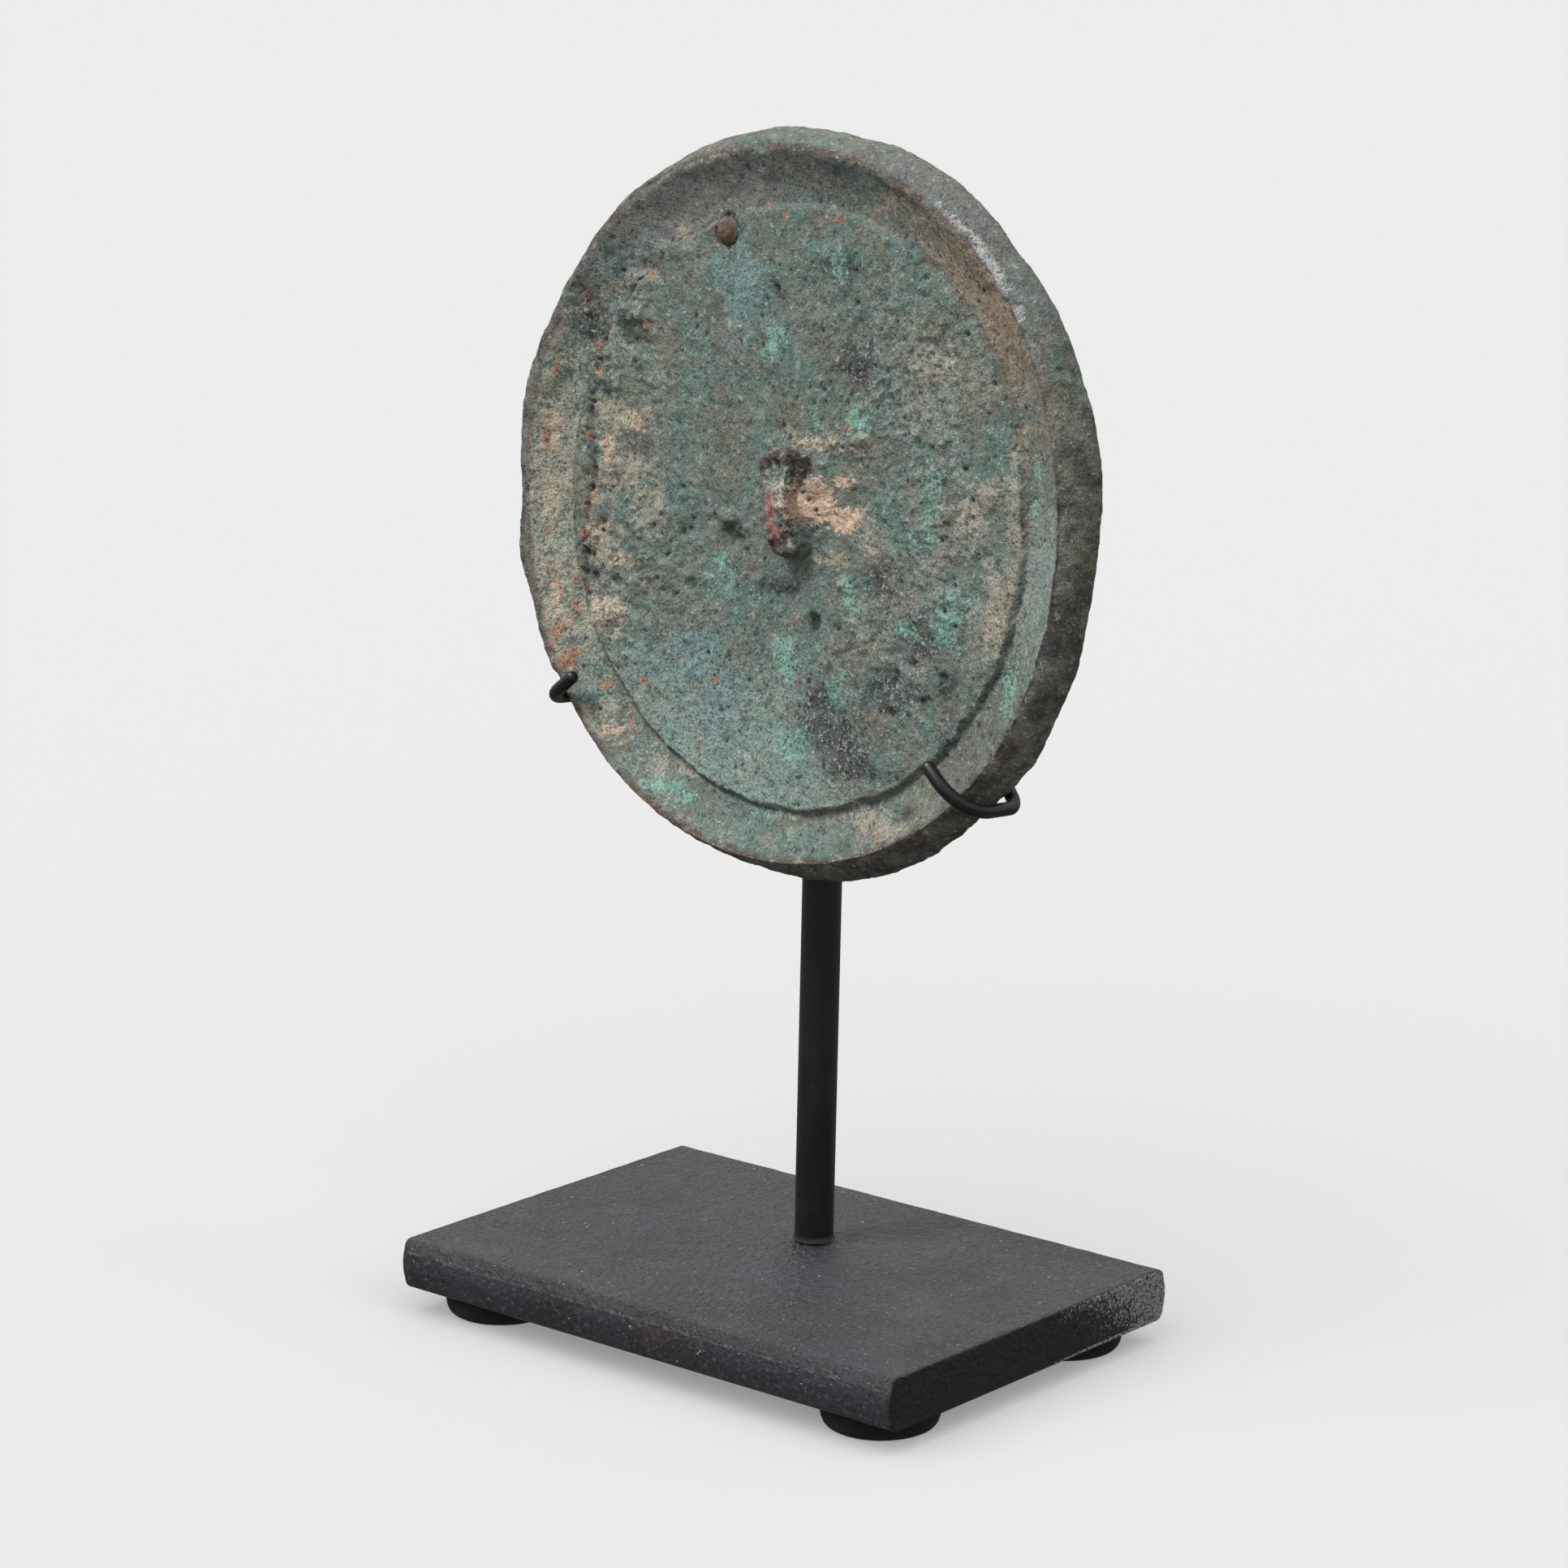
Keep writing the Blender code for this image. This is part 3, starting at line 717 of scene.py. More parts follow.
def rod_skin(stations, segments):
    """Points and faces of a round rod from (middle, along, across, radius), ends closed."""
    angles = np.linspace(0, 2 * np.pi, segments, endpoint=False)
    rings = []
    for middle, along, across, radius in stations:
        upward = np.cross(along, across)
        circle = np.outer(np.cos(angles), across) + np.outer(np.sin(angles), upward)
        rings.append(middle + radius * circle)
    points = np.concatenate(rings)
    faces = []
    for k in range(len(rings) - 1):
        faces += ring_faces(k * segments, (k + 1) * segments, segments)
    faces.append(list(range(segments))[::-1])
    faces.append(list(range(len(points) - segments, len(points))))
    return points, faces


def make_post():
    foot = PLATE_TOP + GAP
    tip = MIRROR_CENTRE_Z + POST_TIP_ABOVE_CENTRE
    fillet = [(foot + 0.7 * s, POST_RADIUS + WELD_SIZE * (1 - s) ** 1.5) for s in (0.2, 0.45, 0.7, 0.95)]
    rod = [(z, POST_RADIUS) for z in np.linspace(foot + 0.8, tip, 60)]
    over_tip = np.radians(np.arange(9, 89, 9))
    dome = [(tip + POST_RADIUS * math.sin(a), POST_RADIUS * math.cos(a)) for a in over_tip]
    levels = [(foot, POST_RADIUS + WELD_SIZE * 0.85), (foot + 0.02, POST_RADIUS + WELD_SIZE)]
    levels += fillet + rod + dome
    upright, across = np.array([0, 0, 1.0]), np.array([1.0, 0, 0])
    stations = [(np.array(post_axis(z)), upright, across, size) for z, size in levels]
    points, faces = rod_skin(stations, POST_SEGMENTS)
    near_weld = 1 - smooth(foot + 0.2, foot + 0.6, points[:, 2])
    middle = np.array([post_axis(z) for z in points[:, 2]])
    outward = points - middle
    points += outward * (near_weld * layered_noise(points, 1.3, 51, 3) * WELD_ROUGHNESS)[:, None]
    make_piece("post_skin", "post", points * MM, faces, rod_paint)


make_post()

# %% [markdown]
# # The worn rim in numbers
# The rim is out of round where it has worn or corroded, and so is the lip. A circle would miss the
# photo's outline by a millimetre, and a traced one could not be changed. A few soft bumps and dents
# (angle, half width, depth) on a true circle do both. The same short lists shape the part, so the
# skin built here follows it exactly. Angles go round from the right side.

# %% Rim and lip
LIP_RADIUS = MIRROR_RADIUS - 2.6
FIELD_RADIUS = LIP_RADIUS - 6.45
FIELD_HEIGHT = 2.6
FIELD_STEP = 0.8
FIELD_DROP = 0.48
LIP_HEIGHT = FIELD_HEIGHT + 2.25
LIP_WIDTH = 0.45
RIM_EDGE = 0.4
RIM_WEAR = (
    (14, 13, 0.75), (34, 9, 0.35), (83, 8, -0.6), (100, 12, -0.35), (217.5, 6, -1.3), (228, 9, -0.9),
    (250, 13, -0.9), (266, 9, -0.5), (297, 12, 0.3), (327, 7, 0.7), (341, 5, 0.35),
)
LIP_WEAR = ((130, 14, 0.45), (168, 14, 1.5), (194, 6, 1.4), (209, 8, 0.55), (217.5, 3, -0.4))


def around(angle, middle, half):
    """1 at an angle in degrees, fading past the half width."""
    turn = (np.degrees(angle) - middle + 180.0) % 360.0 - 180.0
    return np.exp(-(turn / half) ** 2)


def rim_radius(angle):
    wear = [amount * around(angle, middle, half) for middle, half, amount in RIM_WEAR]
    return MIRROR_RADIUS + sum(wear)


def lip_radius(angle):
    return LIP_RADIUS + 0.18 * np.cos(3 * angle) - 0.25 * np.cos(4 * angle)


def lip_width(angle):
    wear = [amount * around(angle, middle, half) for middle, half, amount in LIP_WEAR]
    return LIP_WIDTH + sum(wear)


print("rim radius at four sides:", rim_radius(np.radians([0, 90, 180, 270])).round(2))


# %% [markdown]
# # Two hooks
# Each hook is one rod: a finger over the rim, a bend round the edge, an arm behind the mirror and
# a tail brazed to the side of the post. A curve with a bevel could draw it, but a bent rod has
# straight runs and true round bends. So the path is laid out as corners, each corner is rounded
# off by its own radius, and rings are swept along.

# %% Hooks
WIRE_RADIUS = 0.8
WIRE_SEGMENTS = 32
BEND_STEP = 5
TAIL_ABOVE_CENTRE = 3.0
TAIL_UNDER_TIP = 2.0
HOOKS = {
    "right_hook": {
        "angle": -42.5, "finger": 6.9, "above": 2.7, "behind": 0.1, "bends": (5.0, 1.5, 3.0), "side": 1,
    },
    "left_hook": {
        "angle": 218.3, "finger": 4.9, "above": 0.1, "behind": 0.9, "bends": (2.4, 2.6, 3.0), "side": -1,
    },
}


def on_mirror(radius, angle, height):
    return MIRROR_MATRIX @ Vector((radius * math.cos(angle), -height, radius * math.sin(angle)))


def hook_corners(angle, finger, above, behind, side):
    """The finger's tip, two corners round the rim, and the tail's two ends beside the post."""
    outside = max(float(rim_radius(angle + math.radians(k))) for k in (-1, 0, 1)) + GAP + WIRE_RADIUS
    in_front = LIP_HEIGHT + above + GAP + WIRE_RADIUS
    beside_post = Vector((side * (POST_RADIUS + GAP + WIRE_RADIUS), 0.0, 0.0))
    return [
        on_mirror(outside - finger, angle, in_front),
        on_mirror(outside, angle, in_front),
        on_mirror(outside, angle, -(behind + GAP + WIRE_RADIUS)),
        post_axis(MIRROR_CENTRE_Z + TAIL_ABOVE_CENTRE) + beside_post,
        post_axis(MIRROR_CENTRE_Z + POST_TIP_ABOVE_CENTRE - TAIL_UNDER_TIP) + beside_post,
    ]


def bent_rod(corners, bends):
    """Points along a rod whose inner corners are rounded off."""
    points = [corners[0]]
    for before, corner, after, radius in zip(corners, corners[1:], corners[2:], bends):
        come, go = (before - corner).normalized(), (after - corner).normalized()
        half_angle = come.angle(go) / 2
        start = corner + come * (radius / math.tan(half_angle))
        centre = corner + (come + go).normalized() * (radius / math.sin(half_angle))
        swing = math.pi - 2 * half_angle
        axis = (start - centre).cross(corner - centre).normalized()
        steps = max(int(math.degrees(swing) / BEND_STEP), 3)
        for k in range(steps + 1):
            points.append(centre + Matrix.Rotation(swing * k / steps, 3, axis) @ (start - centre))
    points.append(corners[-1])
    return points


# %% Sweep the rods
def swept_stations(points):
    """(middle, along, across, radius) at each point, with across never twisting."""
    last = len(points) - 1
    along = [(points[min(i + 1, last)] - points[max(i - 1, 0)]).normalized() for i in range(last + 1)]
    across = along[0].orthogonal().normalized()
    stations = []
    for i, point in enumerate(points):
        if i:
            across = (along[i - 1].rotation_difference(along[i]) @ across).normalized()
        stations.append((point, along[i], across, WIRE_RADIUS))
    return stations


def rounded_end(station, outward):
    """Rings that close an end with a dome, from the rod's full width to its tip."""
    middle, along, across, radius = station
    angles = np.radians((18, 36, 52, 68, 84))
    reach = outward * radius
    return [(middle + along * (reach * math.sin(a)), along, across, radius * math.cos(a)) for a in angles]


def make_hook(name, angle, finger, above, behind, bends, side):
    corners = hook_corners(math.radians(angle), finger, above, behind, side)
    stations = swept_stations(bent_rod(corners, bends))
    stations = rounded_end(stations[0], -1)[::-1] + stations + rounded_end(stations[-1], 1)
    rings = [(*(np.array(vector) for vector in station[:3]), station[3]) for station in stations]
    skin, faces = rod_skin(rings, WIRE_SEGMENTS)
    make_piece(name + "_skin", name, skin * MM, faces, rod_paint)


for name, sizes in HOOKS.items():
    make_hook(name, **sizes)

# %% [markdown]
# # The mirror's plain form
# The knobbed side is a shallow dish: a flat field with a low step round it, a band that rises to
# the lip, and a knob with earth packed in its hole. Every height depends only on the place in the
# front view, so the form is a formula and not a pile of joined solids, and the relief of the
# corrosion can be added to it later. This is the form before the corrosion.

# %% Knob and earth
KNOB_LENGTH = 12.4
KNOB_WAIST = 3.7
KNOB_END_WIDTH = 6.2
KNOB_HEIGHT = 3.4
KNOB_FALL = 0.7
KNOB_MIDDLE = (0.8, 0.3)
KNOB_FLANK = 0.9
KNOB_TURN = math.radians(8)
EARTH_REACH = 9.2
EARTH_HALF_HEIGHT = 3.2
EARTH_HEIGHT = 2.5


def knob_height(x, z):
    dx, dz = x - KNOB_MIDDLE[0], z - KNOB_MIDDLE[1]
    along = dz * math.cos(KNOB_TURN) - dx * math.sin(KNOB_TURN)
    across = dx * math.cos(KNOB_TURN) + dz * math.sin(KNOB_TURN)
    share = np.minimum(np.abs(along) / (KNOB_LENGTH / 2), 1.0)
    half_width = (KNOB_WAIST + (KNOB_END_WIDTH - KNOB_WAIST) * share ** 2) / 2
    corner = half_width * np.sqrt(np.maximum(1 - share ** 6, 0.0))
    side = smooth(-KNOB_FLANK / 2, KNOB_FLANK / 2, corner - np.abs(across))
    end = smooth(-KNOB_FLANK / 2, KNOB_FLANK / 2, KNOB_LENGTH / 2 - np.abs(along))
    lower_end = KNOB_FALL * np.maximum(-along / (KNOB_LENGTH / 2), 0.0)
    return (KNOB_HEIGHT * (1 - 0.18 * share ** 2) - lower_end) * side * end


def earth_height(x, z):
    dx, dz = x - KNOB_MIDDLE[0], z - KNOB_MIDDLE[1]
    along = np.clip(dx / EARTH_REACH, 0.0, 1.0)
    mound = EARTH_HEIGHT * (1 - along) ** 1.3 * np.exp(-(dz / EARTH_HALF_HEIGHT) ** 2)
    return np.where(dx < 0, 0.0, mound)


print("height at the knob's middle, in mm:", round(float(knob_height(*KNOB_MIDDLE)), 2))


# %% Dish and polished face
def dish_height(radius, angle, wander=0.0):
    """Height of the knobbed side; wander moves the step in or out by that much."""
    x, z = radius * np.cos(angle), radius * np.sin(angle)
    from_field = np.hypot(x, z + FIELD_DROP) + wander
    bottom = FIELD_HEIGHT - FIELD_STEP
    on_field = 1 - smooth(-FIELD_STEP / 2, FIELD_STEP / 2, from_field - FIELD_RADIUS)
    into_band = np.maximum(from_field - FIELD_RADIUS, 0.0) / (lip_radius(angle) - FIELD_RADIUS)
    band = bottom + (LIP_HEIGHT - bottom) * np.minimum(into_band, 1.0) ** 1.7
    return band + FIELD_STEP * on_field + np.maximum(knob_height(x, z), earth_height(x, z))


def face_height(radius):
    """Height of the polished side, which is hollow by the bulge."""
    return -FACE_BULGE * (1 - np.minimum(radius / MIRROR_RADIUS, 1.0) ** 2)


print("heights of field and lip, in mm:", dish_height(np.array([20.0, LIP_RADIUS]), np.zeros(2)).round(2))


# %% [markdown]
# # A net of points over the mirror
# The corrosion needs triangles of about a third of a millimetre everywhere. A plain polar grid
# would crowd them in the middle, so ring number k has eight times k points, and the triangles stay
# the same size from the middle to the rim. The rings bend along with the step and the lip. Outside
# the lip they go over the edge and down the wall, and the polished face behind gets a coarser net
# of the same kind.

# %% Rings over the front
INNER_RINGS = 42
INNER_SPAN = 12.0
FIELD_RINGS = 97
STEP_RINGS = 106
FRONT_RINGS = 121
BACK_RINGS = 60


def fan_faces(inner_first, outer_first, k):
    """Triangles between a ring of 8(k-1) points and one of 8k points."""
    faces = []
    inner_count, outer_count = max(8 * (k - 1), 1), 8 * k
    for octant in range(8):
        for i in range(k):
            low = outer_first + (octant * k + i) % outer_count
            high = outer_first + (octant * k + i + 1) % outer_count
            inside = inner_first + (octant * (k - 1) + i) % inner_count
            faces.append((low, high, inside))
            if i < k - 1:
                faces.append((inside, high, inner_first + (octant * (k - 1) + i + 1) % inner_count))
    return faces


def front_radii():
    step = FIELD_STEP / 2 + 0.35
    inner = np.linspace(0, INNER_SPAN, INNER_RINGS + 1)
    field = np.linspace(INNER_SPAN, FIELD_RADIUS - step, FIELD_RINGS - INNER_RINGS + 1)[1:]
    over_step = np.linspace(FIELD_RADIUS - step, FIELD_RADIUS + step, STEP_RINGS - FIELD_RINGS + 1)[1:]
    band = np.linspace(FIELD_RADIUS + step, LIP_RADIUS, FRONT_RINGS - STEP_RINGS + 1)[1:]
    return np.concatenate([inner, field, over_step, band])


print("rings from the middle to the lip:", len(front_radii()) - 1)


# %% Rings over the wall
def wall_stations(angle, steps=13):
    """Rings from the lip's crest over the wall to the polished face, as (radius, height)."""
    outer, crest = rim_radius(angle), lip_radius(angle)
    blunt = np.minimum(crest + lip_width(angle), outer - RIM_EDGE)
    run = outer - blunt
    level = np.full(len(angle), LIP_HEIGHT)
    corners = [
        (crest, level), (blunt, level * 0.96), (blunt + run * 0.45, level * 0.76),
        (blunt + run * 0.75, level * 0.52), (blunt + run * 0.93, level * 0.29),
        (outer, level * 0.12), (outer - RIM_EDGE, level * 0.0),
    ]
    places = np.linspace(0, len(corners) - 1, steps + 1)[1:]
    rings = []
    for place in places:
        k = min(int(place), len(corners) - 2)
        share = place - k
        rings.append(tuple(corners[k][n] * (1 - share) + corners[k + 1][n] * share for n in (0, 1)))
    return rings


print("rings over the wall:", len(wall_stations(np.zeros(1))))


# %% Rings of front and back, and their seam
BACK_MARGIN = 0.45


def front_ring(radii, k):
    """Ring k, pulled along with the field's step and the lip, as (radius, angle, height)."""
    angle = 2 * np.pi * np.arange(8 * k) / (8 * k)
    toward_field = np.minimum(radii[k] / FIELD_RADIUS, 1.0)
    beyond = max(radii[k] - FIELD_RADIUS, 0.0) / (LIP_RADIUS - FIELD_RADIUS)
    radius = radii[k] - FIELD_DROP * np.sin(angle) * toward_field * (1 - beyond)
    radius = radius + (lip_radius(angle) - LIP_RADIUS) * beyond
    return np.stack([radius, angle, dish_height(radius, angle)], axis=1)


def back_ring(k):
    count = max(8 * k, 1)
    angle = 2 * np.pi * np.arange(count) / count
    radius = (rim_radius(angle) - RIM_EDGE - BACK_MARGIN) * (k / BACK_RINGS)
    return np.stack([radius, angle, face_height(radius)], axis=1)


def seam_faces(rim_first, rim_count, back_first, back_count):
    """Triangles between the wall's last ring and the coarser first ring of the back."""
    faces = []
    near = np.round(np.arange(rim_count) * back_count / rim_count - 0.001).astype(int) % back_count
    for i in range(rim_count):
        j = (i + 1) % rim_count
        faces.append((rim_first + j, rim_first + i, back_first + int(near[i])))
        if near[i] != near[j]:
            faces.append((rim_first + j, back_first + int(near[i]), back_first + int(near[j])))
    return faces


# %% Join the rings into one net
def mirror_net():
    """Points as (radius, angle, height), faces, and a region: 0 front, up to 1 wall, 2 back."""
    radii = front_radii()
    centre_height = float(dish_height(np.zeros(1), np.zeros(1))[0])
    rings, regions, firsts, faces = [np.array([[0.0, 0.0, centre_height]])], [0.0], [0], []

    def add(ring, part):
        firsts.append(firsts[-1] + len(rings[-1]))
        rings.append(ring)
        regions.append(part)

    for k in range(1, FRONT_RINGS + 1):
        add(front_ring(radii, k), 0.0)
        faces += fan_faces(firsts[-2], firsts[-1], k)
    count = 8 * FRONT_RINGS
    angle = 2 * np.pi * np.arange(count) / count
    stations = wall_stations(angle)
    for number, (radius, height) in enumerate(stations):
        add(np.stack([radius, angle, height], axis=1), (number + 1) / len(stations))
        faces += ring_faces(firsts[-1], firsts[-2], count)
    rim_first = firsts[-1]
    starts = {}
    for k in range(BACK_RINGS, -1, -1):
        add(back_ring(k), 2.0)
        starts[k] = firsts[-1]
    for k in range(BACK_RINGS, 0, -1):
        faces += [face[::-1] for face in fan_faces(starts[k - 1], starts[k], k)]
    faces += seam_faces(rim_first, count, starts[BACK_RINGS], 8 * BACK_RINGS)
    region = np.concatenate([np.full(len(ring), part) for ring, part in zip(rings, regions)])
    return np.concatenate(rings), faces, region


net, mirror_faces, region = mirror_net()
radius, angle, height = net.T
plain = np.stack([radius * np.cos(angle), -height, radius * np.sin(angle)], axis=1)
print("mirror net:", len(plain), "points,", len(mirror_faces), "faces")

# %% [markdown]
# # Where each kind of corrosion sits
# Copper grows different crusts: dark brown and grey tin oxide where the skin survives, pale
# turquoise and blue where it bloomed, and sandy or orange earth where the mirror lay in soil.
# Noise alone would put them anywhere, so each kind is laid on as ovals at places read off the
# photo, in millimetres from the middle, and the noise only makes their edges wander.

# %% Blots with wandering edges
x, y, z = plain.T
front = (region == 0).astype(float)
on_wall = ((region > 0) & (region < 1.5)).astype(float)
on_back = (region > 1.5).astype(float)
edge_wander = layered_noise(plain, 3.4, 61, 5, 0.62)
fine_wander = layered_noise(plain, 0.9, 67, 3)


def blots(places, wander=0.45, soft=1.7):
    """Cover from 0 to 1 by ovals given as (x, z, half width, half height)."""
    cover = np.zeros(len(plain))
    for middle_x, middle_z, half_wide, half_high in places:
        far = np.hypot((x - middle_x) / half_wide, (z - middle_z) / half_high)
        ragged_far = far + wander * edge_wander + wander * 0.5 * fine_wander
        cover = np.maximum(cover, 1 - smooth(0.2, soft, ragged_far))
    return cover * front


print("points in the front view:", int(front.sum()), "wall:", int(on_wall.sum()), "back:", int(on_back.sum()))


# %% Warm crusts
ORANGE = (
    (-10.2, -22, 0.6, 0.9), (-22, -23.5, 1.3, 0.6), (-28.5, -25, 0.9, 0.6), (-26, -28, 0.6, 0.5),
    (-24, -28.5, 0.5, 0.7), (-5.2, -8.5, 0.4, 0.5), (8.5, 10, 0.9, 0.6), (-3, 33.5, 0.8, 0.7),
    (-5.5, 34.5, 1.0, 0.4), (5, 33.5, 2.4, 0.4), (12, 31, 0.5, 0.5), (-24, 25, 1.4, 0.6),
    (-24, 19, 1.2, 0.6), (-31, 12.5, 1.0, 0.8), (-32, 15.5, 0.7, 0.8), (-37.5, 12.5, 0.5, 1.2),
    (-33, 5, 0.6, 0.5), (-32.5, -7, 1.4, 0.9), (-38.5, -7, 0.6, 1.3), (-33.5, -12, 0.7, 1.8),
    (-34, -16, 0.8, 2.0), (-33.5, -22.5, 1.4, 2.0), (-35.5, -19, 0.9, 1.8), (-9, -38.5, 0.6, 0.3),
    (-5, -32.5, 0.5, 0.3), (7, -33, 0.5, 0.3), (17, -36, 0.7, 0.4), (20, -37, 0.7, 0.4),
    (-39, 4, 0.5, 2.4),
)
SANDY = (
    (-28, 8, 4.0, 3.0), (-27, 1, 4.5, 3.6), (-22, -2, 4.0, 2.4), (-29, -9, 3.4, 3.4),
    (-28.5, -16.5, 4.4, 3.0), (-38.5, 0, 2.2, 14), (-35.5, -18, 2.4, 8), (-28, -29.5, 6, 2.4),
    (-19, 30, 2.4, 1.2), (14, 36, 2.6, 1.8), (19, 18, 4, 3), (34, -5, 1.6, 6), (33.5, 6, 1.3, 9),
    (32, -8, 2.4, 6), (15, -34.6, 6, 1.6), (3, 7.8, 6.5, 1.8), (11, 8.5, 2.2, 1.2),
    (-18, -33, 4.5, 1.6), (12.5, -2, 2.2, 3.0), (8, -5.4, 5, 1.2), (28, 3, 3, 4), (0.6, 2.6, 1.4, 0.9),
)
CRUMBLY = (
    (-31, -6.5, 2.6, 1.7), (-27.5, -9.5, 2.2, 1.6), (-28, -15.5, 4.2, 2.9), (-26.5, -18.5, 1.8, 1.2),
    (-25.5, 7.5, 2.2, 1.4), (-29.5, 3.5, 1.5, 2.2), (-26, -30, 2.4, 0.8), (-38.3, 5, 1.3, 5),
    (-38.3, -4, 1.2, 4), (3.5, 7.4, 4.5, 1.3), (-36.5, -15, 1.2, 3), (-19.5, 30.5, 1.6, 0.8),
)
PINKISH = ((20, 15, 10, 12), (24, -2, 8, 8), (17, -14, 9, 8), (31, -10, 3, 9))
EARTH = ((5.0, 0.9, 4.6, 3.5), (8.8, -0.8, 2.6, 2.2), (8.2, 3.8, 2.4, 1.2))
# Painted shade: a smooth, darker tan oval on the earth, where the knob's hole shades it.
EARTH_IN_SHADE = ((5.2, 2.4, 3.4, 1.4),)
BARE_COPPER = ((-0.2, 0.1, 1.6, 2.5), (0.4, -2.6, 1.6, 1.6))
print("warm crusts:", len(ORANGE) + len(SANDY) + len(CRUMBLY) + len(PINKISH), "ovals")

# %% Cold crusts
TURQUOISE = (
    (21.5, 1, 1.7, 4.6), (19, -1.5, 1.6, 1.6), (10, -9.5, 1.7, 2.6), (8.5, -20, 1.5, 2.0),
    (25.5, -9, 2.6, 1.9), (24, -12, 2.4, 1.6), (18.5, -12, 2.6, 1.4), (22, 5, 1.6, 1.4),
    (9.5, 11, 1.6, 2.2), (-17, -35.5, 3.2, 0.9), (-14, -36.4, 2.4, 0.9), (36.5, 8, 1.3, 1.6),
    (36, 4, 1.5, 1.5), (34.5, -17, 1.4, 3.0), (-10, -9, 2.0, 2.4), (2, -28, 3.0, 2.2),
    (0, -36.5, 5, 0.5), (1, -18, 1.7, 3.0), (3.5, 10.5, 1.2, 1.2), (-4, 19, 3, 2), (5.5, 28, 1.6, 2.2),
    (1.3, 4.7, 1.3, 0.8), (-1.4, 2.9, 0.8, 1.0), (10.5, 11, 2.0, 1.6),
)
BLUISH = (
    (-12, 27, 5, 4), (4, 30, 4.5, 2), (-8, 19, 4, 3), (-9.5, -25, 4, 5), (-10, -10, 3, 2.4),
    (-28, 20, 4, 2.6), (-30, 27, 7, 4), (-8, 24, 4, 5), (-14, -20, 5, 4),
)
CHARCOAL = (
    (9, -26, 5.5, 4.2), (13, -29, 4, 2), (16, -19, 4.5, 3.4), (20, -13, 5.0, 3.0), (7, -22, 3.0, 3.0),
    (-1, -9.3, 3.6, 1.1), (14, -7, 3, 2.4), (25, -18, 2.6, 3), (20.5, -33, 1.6, 0.9),
    (-9, -4, 2.0, 1.2), (-31, -7, 1.0, 3), (9, 17, 4.5, 3), (-33, 20, 2.4, 4), (-27.5, 20, 3.6, 0.9),
    (-24.5, 17.4, 3.0, 0.9), (-30, 15, 2.0, 1.0), (-24.5, 26, 2.0, 0.8), (6, 28, 4.5, 2.2),
)
SPARKLING = (
    (11, -26, 7, 6), (18, -19, 7, 6), (22, -13, 5, 4), (15, -8, 4, 3), (9, 18, 6, 4), (-33, 18, 3, 5),
)
print("cold crusts:", len(TURQUOISE) + len(BLUISH) + len(CHARCOAL) + len(SPARKLING), "ovals")

# %% [markdown]
# # Corrosion in relief
# The skin is pitted and granular. Bump in the material would leave the edges smooth, so all that
# is bigger than a grain moves the points themselves. Broad swells come first, then lumps and
# grains, then round pits. A few larger things were seen one by one: the blistered step at the
# upper left, a glassy nodule, hollows near the knob, chips in the rim, and cracks in the earth.

# %% Places with their own relief
LOOP = (1.0, 4.1, 2.9, 2.2)
NODULE = (-12.0, 31.0, 1.5, 0.75)
HOLLOWS = (
    (-8.6, -4.2, 1.6, 0.5), (-16.5, -4.5, 1.3, 0.40), (-14.5, -11, 1.0, 0.35), (-3.5, 25, 0.7, 0.30),
    (-2, 17.5, 0.7, 0.35), (5, -13, 1.2, 0.55), (-5, -26.5, 1.1, 0.40), (18, -18, 1.2, 0.45),
    (3.4, 5.4, 0.9, 0.25), (8, -12, 0.8, 0.2), (-27, 18, 2.2, 0.3), (-30, 10, 1.0, 0.4),
    (2, -24, 0.8, 0.2), (22, -20.5, 1.3, 0.45), (20, -16, 1.0, 0.4), (24.5, -17, 0.9, 0.45),
    (17.2, -21.8, 0.9, 0.35), (20.5, -33, 1.1, 0.3), (-29.5, -5, 1.2, 0.5), (-31, -12, 1.0, 0.5),
    (-33, 0, 0.9, 0.5), (-32.5, 8, 0.9, 0.5),
)
BLISTERS = (
    (-28, 20, 4.2, 1.6, 0.85), (-25, 24, 3.4, 1.4, 0.65), (-21, 28, 3.6, 1.4, 0.5),
    (-31, 13, 1.6, 3.0, 0.6), (-29, 2, 2.2, 3.4, 0.35), (-28.5, -16, 3.2, 2.0, 0.45),
    (-32, -7, 2.0, 2.6, 0.40), (11, 8.5, 1.6, 1.0, 0.55), (10, -8, 2.2, 1.2, 0.35),
    (21, 1, 1.4, 4.0, 0.30), (-27, 7, 3.0, 2.0, 0.30), (-9.5, -2.2, 2.8, 0.8, 0.4),
)
ROUGH_PLACES = ((18, -17, 11, 8), (16, 14, 12, 12), (-28, 14, 8, 14), (-26, -8, 9, 12), (22, -2, 8, 9))
RIM_CHIPS = (
    (184.5, 1.3, 0.55), (188.5, 1.6, 0.60), (203, 1.6, 0.60), (196, 1.4, 0.30), (213, 1.2, 0.30),
    (47, 2.0, 0.30),
)
RUSTY_LINE = ((-30.6, 18), (-31.8, 12), (-32.6, 6), (-31.6, 0), (-32.8, -6), (-32.0, -14))
CRACKS = (
    ((3.4, 2.2), (4.6, 2.0), (6.0, 2.2), (7.2, 1.9)),
    ((4.4, -0.2), (6.0, -0.6), (7.4, -0.1), (9.0, -0.8)),
    ((7.2, 1.9), (7.6, 0.8), (7.4, -0.1)),
    ((8.2, 3.4), (7.6, 2.6), (7.2, 1.9)),
)
print("seen one by one:", len(HOLLOWS), "hollows,", len(BLISTERS), "blisters,", len(CRACKS), "cracks")


